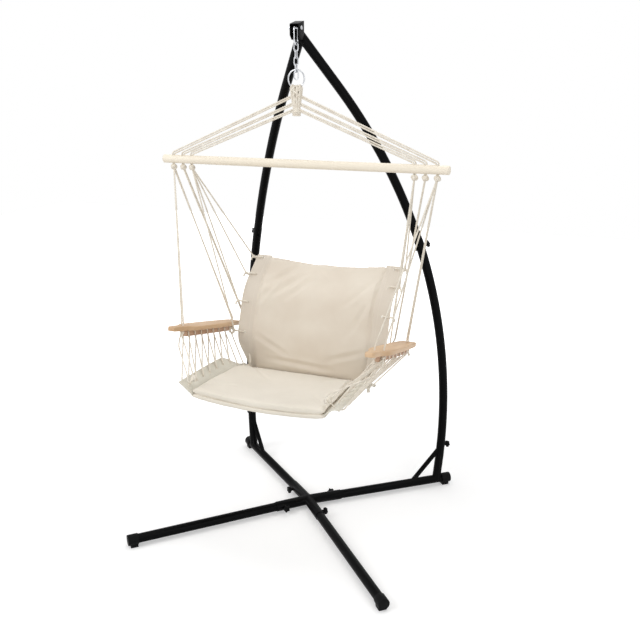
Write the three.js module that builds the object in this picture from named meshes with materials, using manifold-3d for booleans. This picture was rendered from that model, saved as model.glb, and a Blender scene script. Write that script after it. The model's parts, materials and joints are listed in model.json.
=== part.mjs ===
// A hammock chair that hangs from a steel stand, as separate pieces at their real size.
// Millimetres, +Z up, the front faces -Y, and the floor is z = 0.
import * as THREE from 'three';
import { mergeVertices } from 'three/addons/utils/BufferGeometryUtils.js';
import Module from 'manifold-3d';

const wasm = await Module();
wasm.setup();

// Shared clearances
const slip = 0.3; // gap between pieces that touch
const pinSlip = 0.4; // round a stud or bolt in its hole
const cordSlip = 1; // between a cord and the cloth or wood that it passes
const overrun = 3; // how far a cutter reaches past what it cuts
const weldTolerance = 0.0001; // vertices nearer than this are one
const finish = 0.02; // details smaller than this are cleaned away

// Stand, plan sizes measured from the crossing of the legs
const tubeDiameter = 38;
const tubeWall = 1.5;
const legAxisHeight = 30;
const frontFootX = 537;
const frontFootY = 575;
const rearFootX = 519;
const rearFootY = 443;
const sleeveWall = 2;
const sleeveLength = 150;
const legInsertion = 60;

// Feet
const capWall = 3;
const capLength = 39;
const capFootWidth = 30;
const capFootSetback = 6;

// Uprights
const uprightSetShare = 0.908; // place of an upright along its rear leg
const stubTopHeight = 204; // above the leg's axis, along the upright
const uprightLeanDegrees = 6.7; // outward, at the foot
const uprightStraight = 43; // from the leg's axis to the start of the bend
const uprightTopStraight = 229; // from the end of the bend to the middle plane
const apexBack = -46;
const middleJointLength = 1150; // along the upright, from the leg's axis
const upperTubeDiameter = 36;
const insertLength = 80;
const braceDiameter = 21;
const braceLegOffset = 128;
const braceStubHeight = 160;

// Star knobs
const knobHeadDiameter = 31;
const knobLobeDepth = 2.6;
const knobLobes = 5;
const knobHeadThickness = 13;
const knobStemDiameter = 14;
const knobStemLength = 9;
const studDiameter = 8;
const studReach = 11; // how far the stud goes below the wall it enters
const knobFromEdge = 33; // from the end of the sleeve that it clamps
const nutAcross = 13;
const nutThickness = 6.5;

// Top bracket and hanging bolt
const plateThickness = 3;
const bracketWidth = 36;
const bracketTopRise = 26; // of its peak over the bolt
const bracketFrontRise = 14;
const bracketDrop = 40;
const bracketNose = 15; // how far the side plates reach in front of the bolt
const noseFlat = 8; // where the tubes' noses are cut, in front of their meeting axes
const hangSetback = 42; // of the bolt in front of the meeting axes
const boltHeight = 1978;
const boltAboveAxes = 24; // over the point where the tubes' axes meet
const boltDiameter = 8;
const boltHeadThickness = 5.5;
const boltTail = 3;

// Carabiner, chain and ring
const carabinerWire = 7;
const carabinerHeight = 71;
const carabinerWidth = 38;
const gateWire = 5.5;
const gateLength = 27;
const linkWire = 4.5;
const linkInnerWidth = 11.5;
const linkInnerLength = 25;
const hangingLinks = 4;
const ringWire = 5.5;
const ringDiameter = 70;

// Rope work
const cordDiameter = 5.6;
const netCordDiameter = 5;
const crownTopWidth = 50;
const crownTopDepth = 27;
const crownBottomWidth = 25;
const crownBottomDepth = 21;
const crownHeight = 112;
const knotDiameter = 25;
const smallKnotDiameter = 15;
const pairOffset = 2.6; // of each cord of a pair from the middle of the pair
const cordSeat = 5; // how far a cord goes into the crown

// Spreader bar. All heights on the chair are measured from the hanging bolt, so they are negative.
const barZ = -484;
const barDiameter = 33;
const barHalfLength = 588;
const barHoleInsets = { front: 44, middle: 88, rear: 128 }; // from the end of the bar
const barHoleDiameter = 13;
const barEdgeRound = 3;

// Armrests, about the middle of the board's underside
const armX = 402;
const armY = -50;
const armZ = -1163;
const armPitchDegrees = 12.5;
const armLength = 520;
const armWidth = 90;
const armThickness = 18;
const armEdge = 2.5;
const railWidth = 16;
const railHeight = 26;
const railFront = 100; // from the tip of the board
const railBack = 52; // from the rear end of the board
const railEndMargin = 12;
const notchCount = 8;
const notchWidth = 9;
const notchDepth = 9;
const armHoleDiameter = 7;
const frontHole = 78; // from the tip
const frontHoleStep = 30;
const frontHoleOut = 21;
const rearHole = 30; // from the rear end

// Seat and back, y and z measured from the hanging bolt
const seatFrontY = -393;
const creaseY = 93;
const seatFrontHalf = 276;
const seatCreaseHalf = 247;
const seatEdgeZ = -1306;
const seatCreaseEdgeZ = -1378;
const seatFrontMidZ = -1326;
const seatCreaseMidZ = -1378;
const seatThickness = 40;
const seatRim = 9;
const seatFrontRim = 22;
const stripWidth = 58;
const stripThickness = 3;
const stripFrontAngleDegrees = 38;
const stripRearAngleDegrees = 27;
const stripSeam = 1.6; // between a cushion and its strip
const eyeletDiameter = 9;
const eyeletFromSeam = 26;
const backTopY = 318;
const backTopZ = -922;
const backHalfTop = 276;
const backHalfBottom = 250;
const backTopSag = 22;
const backThickness = 36;
const backRim = 9;
const backBow = 16;
const creaseGap = 3;

const fullTurn = Math.PI * 2;
const radians = THREE.MathUtils.degToRad;
const lerp = THREE.MathUtils.lerp;
const vec = (x, y, z) => new THREE.Vector3(x, y, z);
const axisX = vec(1, 0, 0);
const axisY = vec(0, 1, 0);
const axisZ = vec(0, 0, 1);
const sides = [
  { name: 'left', sign: -1 },
  { name: 'right', sign: 1 },
];

// Faces round a tube, by what it is
const facets = {
  tube: 14,
  bore: 8,
  wire: 8,
  link: 6,
  cord: 5,
  bar: 20,
  crown: 18,
  stud: 8,
  hole: 8,
  eyelet: 6,
};

// Materials
const steelBlack = new THREE.MeshStandardMaterial({ color: 0x1b1c1f, roughness: 0.45, metalness: 0.6 });
const plasticBlack = new THREE.MeshStandardMaterial({ color: 0x151618, roughness: 0.55, metalness: 0 });
const chrome = new THREE.MeshStandardMaterial({ color: 0xd9dcdf, roughness: 0.18, metalness: 1 });
const ropeCream = new THREE.MeshStandardMaterial({ color: 0xe6dccb, roughness: 0.95, metalness: 0 });
const paleWood = new THREE.MeshStandardMaterial({ color: 0xeadfc8, roughness: 0.6, metalness: 0 });
const tanWood = new THREE.MeshStandardMaterial({ color: 0xc79e76, roughness: 0.55, metalness: 0 });
const canvasCream = new THREE.MeshStandardMaterial({ color: 0xdfd7c6, roughness: 0.92, metalness: 0 });
const canvasEdge = new THREE.MeshStandardMaterial({ color: 0xd2d0bd, roughness: 0.92, metalness: 0 });

// Solids and meshes

function toSolid(geometry) {
  const bare = geometry.clone();
  bare.deleteAttribute('normal');
  bare.deleteAttribute('uv');
  const merged = mergeVertices(bare, weldTolerance);
  return new wasm.Manifold(
    new wasm.Mesh({
      numProp: 3,
      vertProperties: new Float32Array(merged.getAttribute('position').array),
      triVerts: new Uint32Array(merged.getIndex().array),
    }),
  );
}

function toGeometry(solid) {
  const mesh = solid.asOriginal().simplify(finish).getMesh();
  const geometry = new THREE.BufferGeometry();
  geometry.setAttribute('position', new THREE.BufferAttribute(mesh.vertProperties, 3));
  geometry.setIndex(new THREE.BufferAttribute(mesh.triVerts, 1));
  geometry.computeVertexNormals();
  return geometry;
}

const join = (first, ...others) => others.reduce((whole, part) => whole.add(part), first);
const cut = (first, ...tools) => tools.reduce((rest, tool) => rest.subtract(tool), first);

function addMesh(group, name, shape, material) {
  const geometry = shape instanceof THREE.BufferGeometry ? shape : toGeometry(shape);
  const mesh = new THREE.Mesh(geometry, material);
  mesh.name = name;
  group.add(mesh);
  return mesh;
}

// A closed skin over rings of points. Each ring has the same number of points, counted the same way
// round, and a ring that is not joined to the first again is closed by a flat fan at both ends.
function skin(rings, loop = false) {
  const around = rings[0].length;
  const positions = rings.flat().flatMap((point) => point.toArray());
  const indices = [];
  const spans = loop ? rings.length : rings.length - 1;
  for (let i = 0; i < spans; i += 1) {
    const here = i * around;
    const next = ((i + 1) % rings.length) * around;
    for (let k = 0; k < around; k += 1) {
      const turn = (k + 1) % around;
      indices.push(here + k, here + turn, next + turn, here + k, next + turn, next + k);
    }
  }
  if (!loop) {
    const last = (rings.length - 1) * around;
    for (let k = 1; k < around - 1; k += 1) {
      indices.push(0, k + 1, k, last, last + k, last + k + 1);
    }
  }
  const geometry = new THREE.BufferGeometry();
  geometry.setAttribute('position', new THREE.Float32BufferAttribute(positions, 3));
  geometry.setIndex(indices);
  geometry.computeVertexNormals();
  return geometry;
}

// Direction of travel at each point of a path
function tangentAt(points, i, loop) {
  const count = points.length;
  const before = points[loop ? (i + count - 1) % count : Math.max(i - 1, 0)];
  const after = points[loop ? (i + 1) % count : Math.min(i + 1, count - 1)];
  const arriving = points[i].clone().sub(before).normalize();
  const leaving = after.clone().sub(points[i]).normalize();
  return arriving.add(leaving).normalize();
}

// A round tube along points. The radius is one number or one for each point, start is the direction
// from which the facets are counted, and ways are the directions of travel where they are known.
function tube(points, radius, sideCount, { loop = false, start = null, ways = null } = {}) {
  const rings = [];
  let normal = start;
  points.forEach((point, i) => {
    const tangent = ways ? ways[i] : tangentAt(points, i, loop);
    if (!normal) normal = Math.abs(tangent.z) < 0.9 ? axisZ : axisX;
    normal = normal.clone().addScaledVector(tangent, -normal.dot(tangent)).normalize();
    const binormal = tangent.clone().cross(normal);
    const reach = Array.isArray(radius) ? radius[i] : radius;
    const ring = [];
    for (let k = 0; k < sideCount; k += 1) {
      const angle = (fullTurn * k) / sideCount;
      ring.push(
        point
          .clone()
          .addScaledVector(normal, reach * Math.cos(angle))
          .addScaledVector(binormal, reach * Math.sin(angle)),
      );
    }
    rings.push(ring);
  });
  return skin(rings, loop);
}

const tubeSolid = (...settings) => toSolid(tube(...settings));

// The same path, longer by extra at both ends
function stretched(points, extra) {
  const first = points[0].clone().sub(points[1]).setLength(extra).add(points[0]);
  const beforeLast = points[points.length - 2];
  const last = points[points.length - 1];
  const end = last.clone().sub(beforeLast).setLength(extra).add(last);
  return [first, ...points.slice(1, -1), end];
}

// An outline in the plane of two directions, carried along the third
function prism(shape, depth, bevel = 0) {
  return new THREE.ExtrudeGeometry(shape, {
    depth: depth - 2 * bevel,
    bevelEnabled: bevel > 0,
    bevelThickness: bevel,
    bevelSize: bevel,
    bevelOffset: -bevel,
    bevelSegments: 1,
    curveSegments: 6,
  }).translate(0, 0, bevel);
}

const outline = (points) => new THREE.Shape(points.map(([x, y]) => new THREE.Vector2(x, y)));

// A round hole or pin from one point to another
const rod = (from, to, radius, sideCount = facets.stud) => tubeSolid([from, to], radius, sideCount);

// Stand

const stand = new THREE.Group();
const tubeRadius = tubeDiameter / 2;
const tubeBore = tubeRadius - tubeWall;
const roughBore = tubeBore - slip; // where nothing is pushed in
const sleeveRadius = tubeRadius + slip + sleeveWall;
const sleeveBore = tubeRadius + slip;
const insertRadius = tubeBore - slip;
const insertBore = insertRadius - tubeWall;
const capRadius = tubeRadius + slip + capWall;
const studRadius = studDiameter / 2;
const studHole = studRadius + pinSlip;

const legs = [
  { name: 'front_left', x: -frontFootX, y: -frontFootY },
  { name: 'front_right', x: frontFootX, y: -frontFootY },
  { name: 'rear_right', x: rearFootX, y: rearFootY },
  { name: 'rear_left', x: -rearFootX, y: rearFootY },
].map((leg) => {
  const reach = Math.hypot(leg.x, leg.y);
  const along = vec(leg.x, leg.y, 0).normalize();
  const at = (distance) => along.clone().multiplyScalar(distance).setZ(legAxisHeight);
  // The knob stands on the counter-clockwise side of its leg
  return { ...leg, reach, along, at, knobWay: axisZ.clone().cross(along) };
});
const legNamed = Object.fromEntries(legs.map((leg) => [leg.name, leg]));
const legStart = sleeveLength - legInsertion;
const baseKnobAt = sleeveLength - knobFromEdge;

// A hole for a stud through the wall of a tube whose axis passes through centre
const studCut = (centre, way, radius) =>
  rod(
    centre.clone().addScaledVector(way, radius - tubeWall - overrun),
    centre.clone().addScaledVector(way, radius + overrun),
    studHole,
  );

function baseCross() {
  const centre = vec(0, 0, legAxisHeight);
  const bent = [legNamed.front_left.at(sleeveLength), centre, legNamed.rear_right.at(sleeveLength)];
  const arms = [legNamed.front_right, legNamed.rear_left].map((leg) => [centre, leg.at(sleeveLength)]);
  const outer = join(
    tubeSolid(bent, sleeveRadius, facets.tube),
    ...arms.map((points) => tubeSolid(points, sleeveRadius, facets.tube)),
  );
  const armBores = arms.map((points) => [centre, stretched(points, overrun)[1]]);
  const bores = [stretched(bent, overrun), ...armBores].map((points) =>
    tubeSolid(points, sleeveBore, facets.tube),
  );
  const holes = legs.map((leg) => studCut(leg.at(baseKnobAt), leg.knobWay, sleeveRadius));
  return cut(outer, ...bores, ...holes);
}

function frontLeg(leg) {
  const line = [leg.at(legStart), leg.at(leg.reach)];
  return cut(
    tubeSolid(line, tubeRadius, facets.tube),
    tubeSolid(stretched(line, overrun), roughBore, facets.bore),
    studCut(leg.at(baseKnobAt), leg.knobWay, tubeRadius),
  );
}

// A round cap pushed over the end of a leg, with a flat foot under it. It is drawn along +X from the
// leg's end, so that its axis is the leg's.
function footCap() {
  const ring = (x) => [
    vec(x, capFootWidth / 2, -legAxisHeight),
    vec(x, -capFootWidth / 2, -legAxisHeight),
    vec(x, -tubeRadius, -slip),
    vec(x, tubeRadius, -slip),
  ];
  const foot = orientedSolid([ring(-capLength + capWall), ring(-capFootSetback)]);
  return cut(
    join(tubeSolid([vec(-capLength, 0, 0), vec(slip + capWall, 0, 0)], capRadius, facets.tube), foot),
    tubeSolid([vec(-capLength - overrun, 0, 0), vec(slip, 0, 0)], sleeveBore, facets.tube),
  );
}

// Uprights: a short straight foot that leans out, one long bend, then straight to the middle plane
const leanAngle = -radians(uprightLeanDegrees);
const uprightFoot = legNamed.rear_left.at(legNamed.rear_left.reach * uprightSetShare);
const uprightSpan = vec(0, apexBack, legAxisHeight).distanceTo(uprightFoot);
const meetingRise = boltHeight - boltAboveAxes - legAxisHeight;
const bendSearchDegrees = [20, 70]; // the top angle is looked for between these
const bendSearchSteps = 40;

// Inward and upward travel at the end of a bend of this radius, from the lean to an angle
const bendTravel = (radius, angle) => [
  uprightStraight * Math.sin(leanAngle) + radius * (Math.cos(leanAngle) - Math.cos(angle)),
  uprightStraight * Math.cos(leanAngle) + radius * (Math.sin(angle) - Math.sin(leanAngle)),
];

// The bend whose end, carried straight on, meets the other upright at the height of the bracket. A
// steeper top makes a lower stand, so the angle is found by halving the range that it lies in.
function uprightBend() {
  let [low, high] = bendSearchDegrees.map(radians);
  let bend = null;
  for (let i = 0; i < bendSearchSteps; i += 1) {
    const angle = (low + high) / 2;
    const bendSpan =
      uprightSpan - uprightStraight * Math.sin(leanAngle) - uprightTopStraight * Math.sin(angle);
    bend = { angle, radius: bendSpan / (Math.cos(leanAngle) - Math.cos(angle)) };
    const rise = bendTravel(bend.radius, angle)[1] + uprightTopStraight * Math.cos(angle);
    if (rise > meetingRise) low = angle;
    else high = angle;
  }
  return bend;
}

const { angle: topAngle, radius: bendRadius } = uprightBend();
const bendLength = bendRadius * (topAngle - leanAngle);
const uprightLength = uprightStraight + bendLength + uprightTopStraight;

function uprightPath(side) {
  const rearLeg = side.sign < 0 ? legNamed.rear_left : legNamed.rear_right;
  const base = rearLeg.at(rearLeg.reach * uprightSetShare);
  const inward = vec(0, apexBack, legAxisHeight).sub(base).normalize();
  const at = (distance) => {
    const bent = THREE.MathUtils.clamp(distance - uprightStraight, 0, bendLength);
    const foot = Math.min(distance - uprightStraight, 0);
    const rest = Math.max(distance - uprightStraight - bendLength, 0);
    const [inwardBy, upBy] = bendTravel(bendRadius, leanAngle + bent / bendRadius);
    return base
      .clone()
      .addScaledVector(inward, inwardBy + foot * Math.sin(leanAngle) + rest * Math.sin(topAngle))
      .addScaledVector(axisZ, upBy + foot * Math.cos(leanAngle) + rest * Math.cos(topAngle));
  };
  const way = (distance) => at(distance + slip).sub(at(distance - slip)).normalize();
  const across = inward.clone().cross(axisZ);
  // Out of the bend, square to the tube
  const outward = (distance) => across.clone().cross(way(distance)).negate();
  return { rearLeg, base, inward, at, way, across, outward };
}

const uprightStepLength = 150;

// Distances along an upright from one to another, evenly, ends included
function stepsAlong(from, to) {
  const steps = Math.ceil((to - from) / uprightStepLength);
  return Array.from({ length: steps + 1 }, (unused, i) => lerp(from, to, i / steps));
}

// A round tube through the given distances of an upright
function uprightTube(path, distances, radius, sideCount) {
  return tubeSolid(
    distances.map((distance) => path.at(distance)),
    radius,
    sideCount,
    { start: path.across, ways: distances.map((distance) => path.way(distance)) },
  );
}

const stubTop = stubTopHeight;
const cornerKnobAt = stubTop - knobFromEdge;
const middleKnobAt = middleJointLength - knobFromEdge;

function knobOut(path, distance) {
  const out = path.outward(distance);
  return out.dot(path.inward) > 0 ? out.negate() : out;
}

// A rear leg with the stub for its upright and the brace between them
function cornerFrame(path) {
  const { rearLeg } = path;
  const legLine = [rearLeg.at(legStart), rearLeg.at(rearLeg.reach)];
  const socketStart = stubTop - insertLength - slip;
  const braceStart = rearLeg.at(rearLeg.reach * uprightSetShare - braceLegOffset);
  const braceLine = [braceStart, path.at(braceStubHeight)];
  const shell = join(
    tubeSolid(legLine, tubeRadius, facets.tube),
    uprightTube(path, [0, uprightStraight, socketStart, stubTop], tubeRadius, facets.tube),
    tubeSolid(braceLine, braceDiameter / 2, facets.bore),
  );
  return cut(
    shell,
    tubeSolid(stretched(legLine, overrun), roughBore, facets.bore),
    uprightTube(path, [tubeRadius, uprightStraight, socketStart], tubeBore - tubeWall, facets.bore),
    uprightTube(path, [socketStart - slip, stubTop, stubTop + overrun], tubeBore, facets.tube),
    studCut(rearLeg.at(baseKnobAt), rearLeg.knobWay, tubeRadius),
    studCut(path.at(cornerKnobAt), knobOut(path, cornerKnobAt), tubeRadius),
  );
}

// One piece of an upright: a drawn-in end that slides into the tube below, then the tube itself
function uprightPiece(path, from, distances, radius, knobBelow) {
  const neck = from + 2 * tubeWall;
  const last = distances[distances.length - 1];
  const bore = [from - insertLength - overrun, from, neck, ...distances.slice(1, -1), last + overrun];
  return cut(
    join(
      uprightTube(path, [from - insertLength, from, neck], insertRadius, facets.tube),
      uprightTube(path, distances, radius, facets.tube),
    ),
    uprightTube(
      path,
      bore,
      bore.map((distance) => (distance < neck ? insertBore : radius - tubeWall - slip)),
      facets.bore,
    ),
    studCut(path.at(knobBelow), knobOut(path, knobBelow), insertRadius),
  );
}

// The lower tube's top end holds the upper tube, and a long bolt passes right through both
function lowerUpright(path) {
  const socketStart = middleJointLength - insertLength - slip;
  const distances = [...stepsAlong(stubTop + slip, socketStart), middleKnobAt, middleJointLength];
  const socket = [socketStart - slip, middleJointLength, middleJointLength + overrun];
  return cut(
    uprightPiece(path, stubTop, distances, tubeRadius, cornerKnobAt),
    uprightTube(path, socket, tubeBore, facets.tube),
    throughCut(path.at(middleKnobAt), knobOut(path, middleKnobAt), tubeRadius),
  );
}

const throughCut = (centre, way, radius) =>
  rod(
    centre.clone().addScaledVector(way, -radius - overrun),
    centre.clone().addScaledVector(way, radius + overrun),
    studHole,
  );

// The upper tubes meet in the middle plane, and their noses are cut flat for the bracket
function upperUpright(path, side) {
  const bendEnd = uprightStraight + bendLength;
  const distances = [...stepsAlong(middleJointLength + slip, bendEnd), uprightLength + tubeDiameter];
  const piece = uprightPiece(path, middleJointLength, distances, upperTubeDiameter / 2, middleKnobAt);
  const block = bracketWidth + tubeDiameter * 4;
  const top = path.at(uprightLength);
  const beyondMiddle = new THREE.BoxGeometry(block, block * 2, block * 2);
  beyondMiddle.translate(-side.sign * (block / 2 - slip / 2), top.y, top.z);
  const inFront = new THREE.BoxGeometry(block * 2, block, block * 2);
  inFront.translate(0, apexBack - noseFlat - block / 2, top.z);
  const boltCut = throughCut(path.at(middleKnobAt), knobOut(path, middleKnobAt), insertRadius);
  return cut(piece, toSolid(beyondMiddle), toSolid(inFront), boltCut);
}

// A star knob along +Z, with its stud running down from it. Its origin is on the axis of the tube.
function starKnob(wallRadius, studEnd) {
  const points = [];
  const lobeSteps = 4;
  const steps = knobLobes * lobeSteps;
  for (let i = 0; i < steps; i += 1) {
    const angle = (fullTurn * i) / steps;
    const reach = knobHeadDiameter / 2 - knobLobeDepth + knobLobeDepth * Math.cos(knobLobes * angle);
    points.push([reach * Math.cos(angle), reach * Math.sin(angle)]);
  }
  const stemBase = wallRadius + slip;
  const headBase = stemBase + knobStemLength;
  const head = prism(outline(points), knobHeadThickness).translate(0, 0, headBase);
  return join(
    toSolid(head),
    rod(vec(0, 0, stemBase), vec(0, 0, headBase + knobHeadThickness / 2), knobStemDiameter / 2),
    rod(vec(0, 0, studEnd), vec(0, 0, headBase), studRadius),
  );
}

function placeKnob(name, centre, way, wallRadius, studEnd) {
  const mesh = addMesh(stand, name, starKnob(wallRadius, studEnd), plasticBlack);
  mesh.position.copy(centre);
  mesh.quaternion.setFromUnitVectors(axisZ, way);
}

// A hexagon nut along +Z with its face at the origin
function nut() {
  const hexRadius = nutAcross / 2 / Math.cos(Math.PI / 6);
  const body = rod(vec(0, 0, 0), vec(0, 0, nutThickness), hexRadius, 6);
  return cut(body, rod(vec(0, 0, -overrun), vec(0, 0, nutThickness + overrun), studHole));
}

function buildStand() {
  addMesh(stand, 'base_cross', baseCross(), steelBlack);
  legs.forEach((leg) => {
    const cap = addMesh(stand, `foot_cap_${leg.name}`, footCap(), plasticBlack);
    cap.position.copy(leg.at(leg.reach));
    cap.quaternion.setFromUnitVectors(axisX, leg.along);
    placeKnob(`base_knob_${leg.name}`, leg.at(baseKnobAt), leg.knobWay, sleeveRadius, tubeBore - studReach);
  });
  addMesh(stand, 'leg_front_left', frontLeg(legNamed.front_left), steelBlack);
  addMesh(stand, 'leg_front_right', frontLeg(legNamed.front_right), steelBlack);
  sides.forEach((side) => {
    const path = uprightPath(side);
    addMesh(stand, `corner_frame_${side.name}`, cornerFrame(path), steelBlack);
    addMesh(stand, `upright_lower_${side.name}`, lowerUpright(path), steelBlack);
    addMesh(stand, `upright_upper_${side.name}`, upperUpright(path, side), steelBlack);
    const cornerOut = knobOut(path, cornerKnobAt);
    const studEnd = insertBore - studReach;
    placeKnob(`corner_knob_${side.name}`, path.at(cornerKnobAt), cornerOut, tubeRadius, studEnd);
    const middleOut = knobOut(path, middleKnobAt);
    const boltEnd = tubeRadius + slip + nutThickness + boltTail;
    placeKnob(`middle_knob_${side.name}`, path.at(middleKnobAt), middleOut, tubeRadius, -boltEnd);
    const middleNut = addMesh(stand, `middle_nut_${side.name}`, nut(), steelBlack);
    middleNut.position.copy(path.at(middleKnobAt)).addScaledVector(middleOut, -tubeRadius - slip);
    middleNut.quaternion.setFromUnitVectors(axisZ, middleOut.clone().negate());
  });
}

// Top bracket: a folded hood, open to the front and below, with the bolt through its side plates
const hangY = apexBack - hangSetback;
const boltRadius = boltDiameter / 2;

function topBracket() {
  const webBack = apexBack - noseFlat - slip;
  const front = hangY - bracketNose;
  const peak = boltHeight + bracketTopRise;
  const frontTop = boltHeight + bracketFrontRise;
  const bottom = boltHeight - bracketDrop;
  const webFront = webBack - plateThickness;
  const side = outline([
    [webBack, bottom],
    [webBack, peak],
    [front, frontTop],
    [front, bottom + bracketNose],
    [front + bracketNose, bottom],
  ]);
  const hollow = outline([
    [webFront, bottom - overrun],
    [webFront, peak - plateThickness],
    [front - overrun, frontTop - plateThickness],
    [front - overrun, bottom - overrun],
  ]);
  // The outlines lie in the Y and Z directions, and their depth is X
  const stood = (shape, width) => {
    const geometry = prism(shape, width).translate(0, 0, -width / 2);
    return toSolid(geometry.rotateX(Math.PI / 2).rotateZ(Math.PI / 2));
  };
  const across = [-bracketWidth, bracketWidth].map((x) => vec(x, hangY, boltHeight));
  const holes = rod(...across, boltRadius + slip);
  return cut(stood(side, bracketWidth), stood(hollow, bracketWidth - 2 * plateThickness), holes);
}

function hangBolt() {
  const half = bracketWidth / 2 + slip;
  const end = -half - nutThickness - boltTail;
  const hexRadius = nutAcross / 2 / Math.cos(Math.PI / 6);
  return join(
    rod(vec(end, hangY, boltHeight), vec(half + boltHeadThickness / 2, hangY, boltHeight), boltRadius),
    rod(vec(half, hangY, boltHeight), vec(half + boltHeadThickness, hangY, boltHeight), hexRadius, 6),
  );
}

function buildTop() {
  addMesh(stand, 'top_bracket', topBracket(), steelBlack);
  addMesh(stand, 'hang_bolt', hangBolt(), chrome);
  const boltNut = addMesh(stand, 'hang_bolt_nut', nut(), chrome);
  boltNut.position.set(-bracketWidth / 2 - slip, hangY, boltHeight);
  boltNut.quaternion.setFromUnitVectors(axisZ, axisX.clone().negate());
}

// Chair and hanging hardware, in a group whose origin is the bolt

const chair = new THREE.Group();
chair.position.set(0, hangY, boltHeight);

// Points of an arc in the plane of two directions, from one angle to another
function arc(centre, first, second, radius, from, to, steps) {
  return Array.from({ length: steps + 1 }, (unused, i) => {
    const angle = lerp(from, to, i / steps);
    return centre
      .clone()
      .addScaledVector(first, radius * Math.cos(angle))
      .addScaledVector(second, radius * Math.sin(angle));
  });
}

// Carabiner: a long loop in the plane of swing, open on the front side for its gate
const carabinerBend = (carabinerWidth - carabinerWire) / 2;
const carabinerStraight = (carabinerHeight - carabinerWire) / 2 - carabinerBend;
const carabinerTop = boltRadius + slip + carabinerWire / 2;
const carabinerMiddle = carabinerTop - carabinerStraight - carabinerBend;
const carabinerSeat = carabinerMiddle - carabinerStraight - carabinerBend + carabinerWire / 2;
const bendSteps = 6;

function carabinerBody() {
  const upper = vec(0, 0, carabinerMiddle + carabinerStraight);
  const lower = vec(0, 0, carabinerMiddle - carabinerStraight);
  const gap = gateLength / 2 + slip;
  const points = [
    vec(0, -carabinerBend, carabinerMiddle + gap),
    ...arc(upper, axisY, axisZ, carabinerBend, Math.PI, 0, bendSteps),
    ...arc(lower, axisY, axisZ, carabinerBend, 0, -Math.PI, bendSteps),
    vec(0, -carabinerBend, carabinerMiddle - gap),
  ];
  return tube(points, carabinerWire / 2, facets.wire, { start: axisX });
}

// The gate: a pin with rounded ends that turns about its lower end
function carabinerGate() {
  const half = gateLength / 2;
  const radius = gateWire / 2;
  const endShares = [
    [0, 0.35],
    [0.3, 0.8],
    [1, 1],
  ];
  const lower = endShares.map(([rise, width]) => ({ z: -half + rise * radius, r: width * radius }));
  const upper = endShares.map(([rise, width]) => ({ z: half - rise * radius, r: width * radius })).reverse();
  const rings = [...lower, ...upper];
  const points = rings.map(({ z }) => vec(0, -carabinerBend, carabinerMiddle + z));
  return tube(
    points,
    rings.map(({ r }) => r),
    facets.wire,
    { start: axisX },
  );
}

// A chain link whose inner top is at the given height, with its width along the given direction
function chainLink(innerTop, across) {
  const bend = (linkInnerWidth + linkWire) / 2;
  const straight = (linkInnerLength + linkWire) / 2 - bend;
  const middle = innerTop - linkInnerLength / 2;
  const upper = vec(0, 0, middle + straight);
  const lower = vec(0, 0, middle - straight);
  const points = [
    ...arc(upper, across, axisZ, bend, 0, Math.PI, bendSteps - 1),
    ...arc(lower, across, axisZ, bend, Math.PI, 2 * Math.PI, bendSteps - 1),
  ];
  const normal = across.clone().cross(axisZ);
  return tube(points, linkWire / 2, facets.link, { loop: true, start: normal });
}

const linkTops = Array.from(
  { length: hangingLinks + 1 },
  (unused, i) => carabinerSeat + slip - i * (linkInnerLength - slip),
);
const tailTop = linkTops[hangingLinks];
const ringRadius = (ringDiameter - ringWire) / 2;
const ringMiddle = tailTop + linkWire + slip + ringWire / 2 - ringRadius;
const ringSteps = 22;

function ringTube(wireRadius, sideCount) {
  const points = arc(vec(0, 0, ringMiddle), axisX, axisZ, ringRadius, 0, fullTurn, ringSteps).slice(0, -1);
  return tube(points, wireRadius, sideCount, { loop: true, start: axisY });
}

function buildHardware() {
  addMesh(chair, 'carabiner', carabinerBody(), chrome);
  addMesh(chair, 'carabiner_gate', carabinerGate(), chrome);
  for (let i = 0; i < hangingLinks; i += 1) {
    addMesh(chair, `chain_link_${i + 1}`, chainLink(linkTops[i], i % 2 ? axisY : axisX), chrome);
  }
  addMesh(chair, 'chain_tail_link', chainLink(tailTop, axisX), chrome);
  addMesh(chair, 'hanging_ring', ringTube(ringWire / 2, facets.wire), chrome);
}

// Rope crown: the cords looped over the ring and knotted into one tapering bundle
const crownSeat = ringMiddle - ringRadius; // axis of the ring's wire at its lowest point
const crownTop = crownSeat + ringWire * 2;
const crownBottom = crownTop - crownHeight;
const crownProfileShares = [
  // height from the bottom, how far the section has grown from the bottom size to the top size
  [0, -0.12],
  [0.06, 0.04],
  [0.3, 0.14],
  [0.65, 0.75],
  [0.88, 1],
  [1, 0.7],
];

function crownBundle() {
  const rings = crownProfileShares.map(([share, growth]) => {
    const ring = [];
    for (let k = 0; k < facets.crown; k += 1) {
      const angle = (fullTurn * k) / facets.crown;
      const halfWidth = lerp(crownBottomWidth, crownTopWidth, growth) / 2;
      const halfDepth = lerp(crownBottomDepth, crownTopDepth, growth) / 2;
      ring.push(
        vec(halfWidth * Math.cos(angle), halfDepth * Math.sin(angle), lerp(crownBottom, crownTop, share)),
      );
    }
    return ring;
  });
  return toSolid(skin(rings));
}

// Where the three pairs of cords on a side leave the crown, as shares of its height and half width
const crownExitShares = {
  front: { height: 0.64, width: 0.62 },
  middle: { height: 0.4, width: 0.48 },
  rear: { height: 0.2, width: 0.42 },
};
const crownExit = (sign, row) =>
  vec(
    (sign * crownExitShares[row].width * crownTopWidth) / 2,
    0,
    lerp(crownBottom, crownTop, crownExitShares[row].height),
  );

// The cords of one pair, above the bar: out of the crown, straight to the bar, and down its hole
const cordRadius = cordDiameter / 2;
const barRadius = barDiameter / 2;
const knotRadius = knotDiameter / 2;
const knotZ = barZ - barRadius - slip - knotRadius;
const pairSigns = [-1, 1];
const barHolesX = Object.fromEntries(
  Object.entries(barHoleInsets).map(([row, inset]) => [row, barHalfLength - inset]),
);

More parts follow.
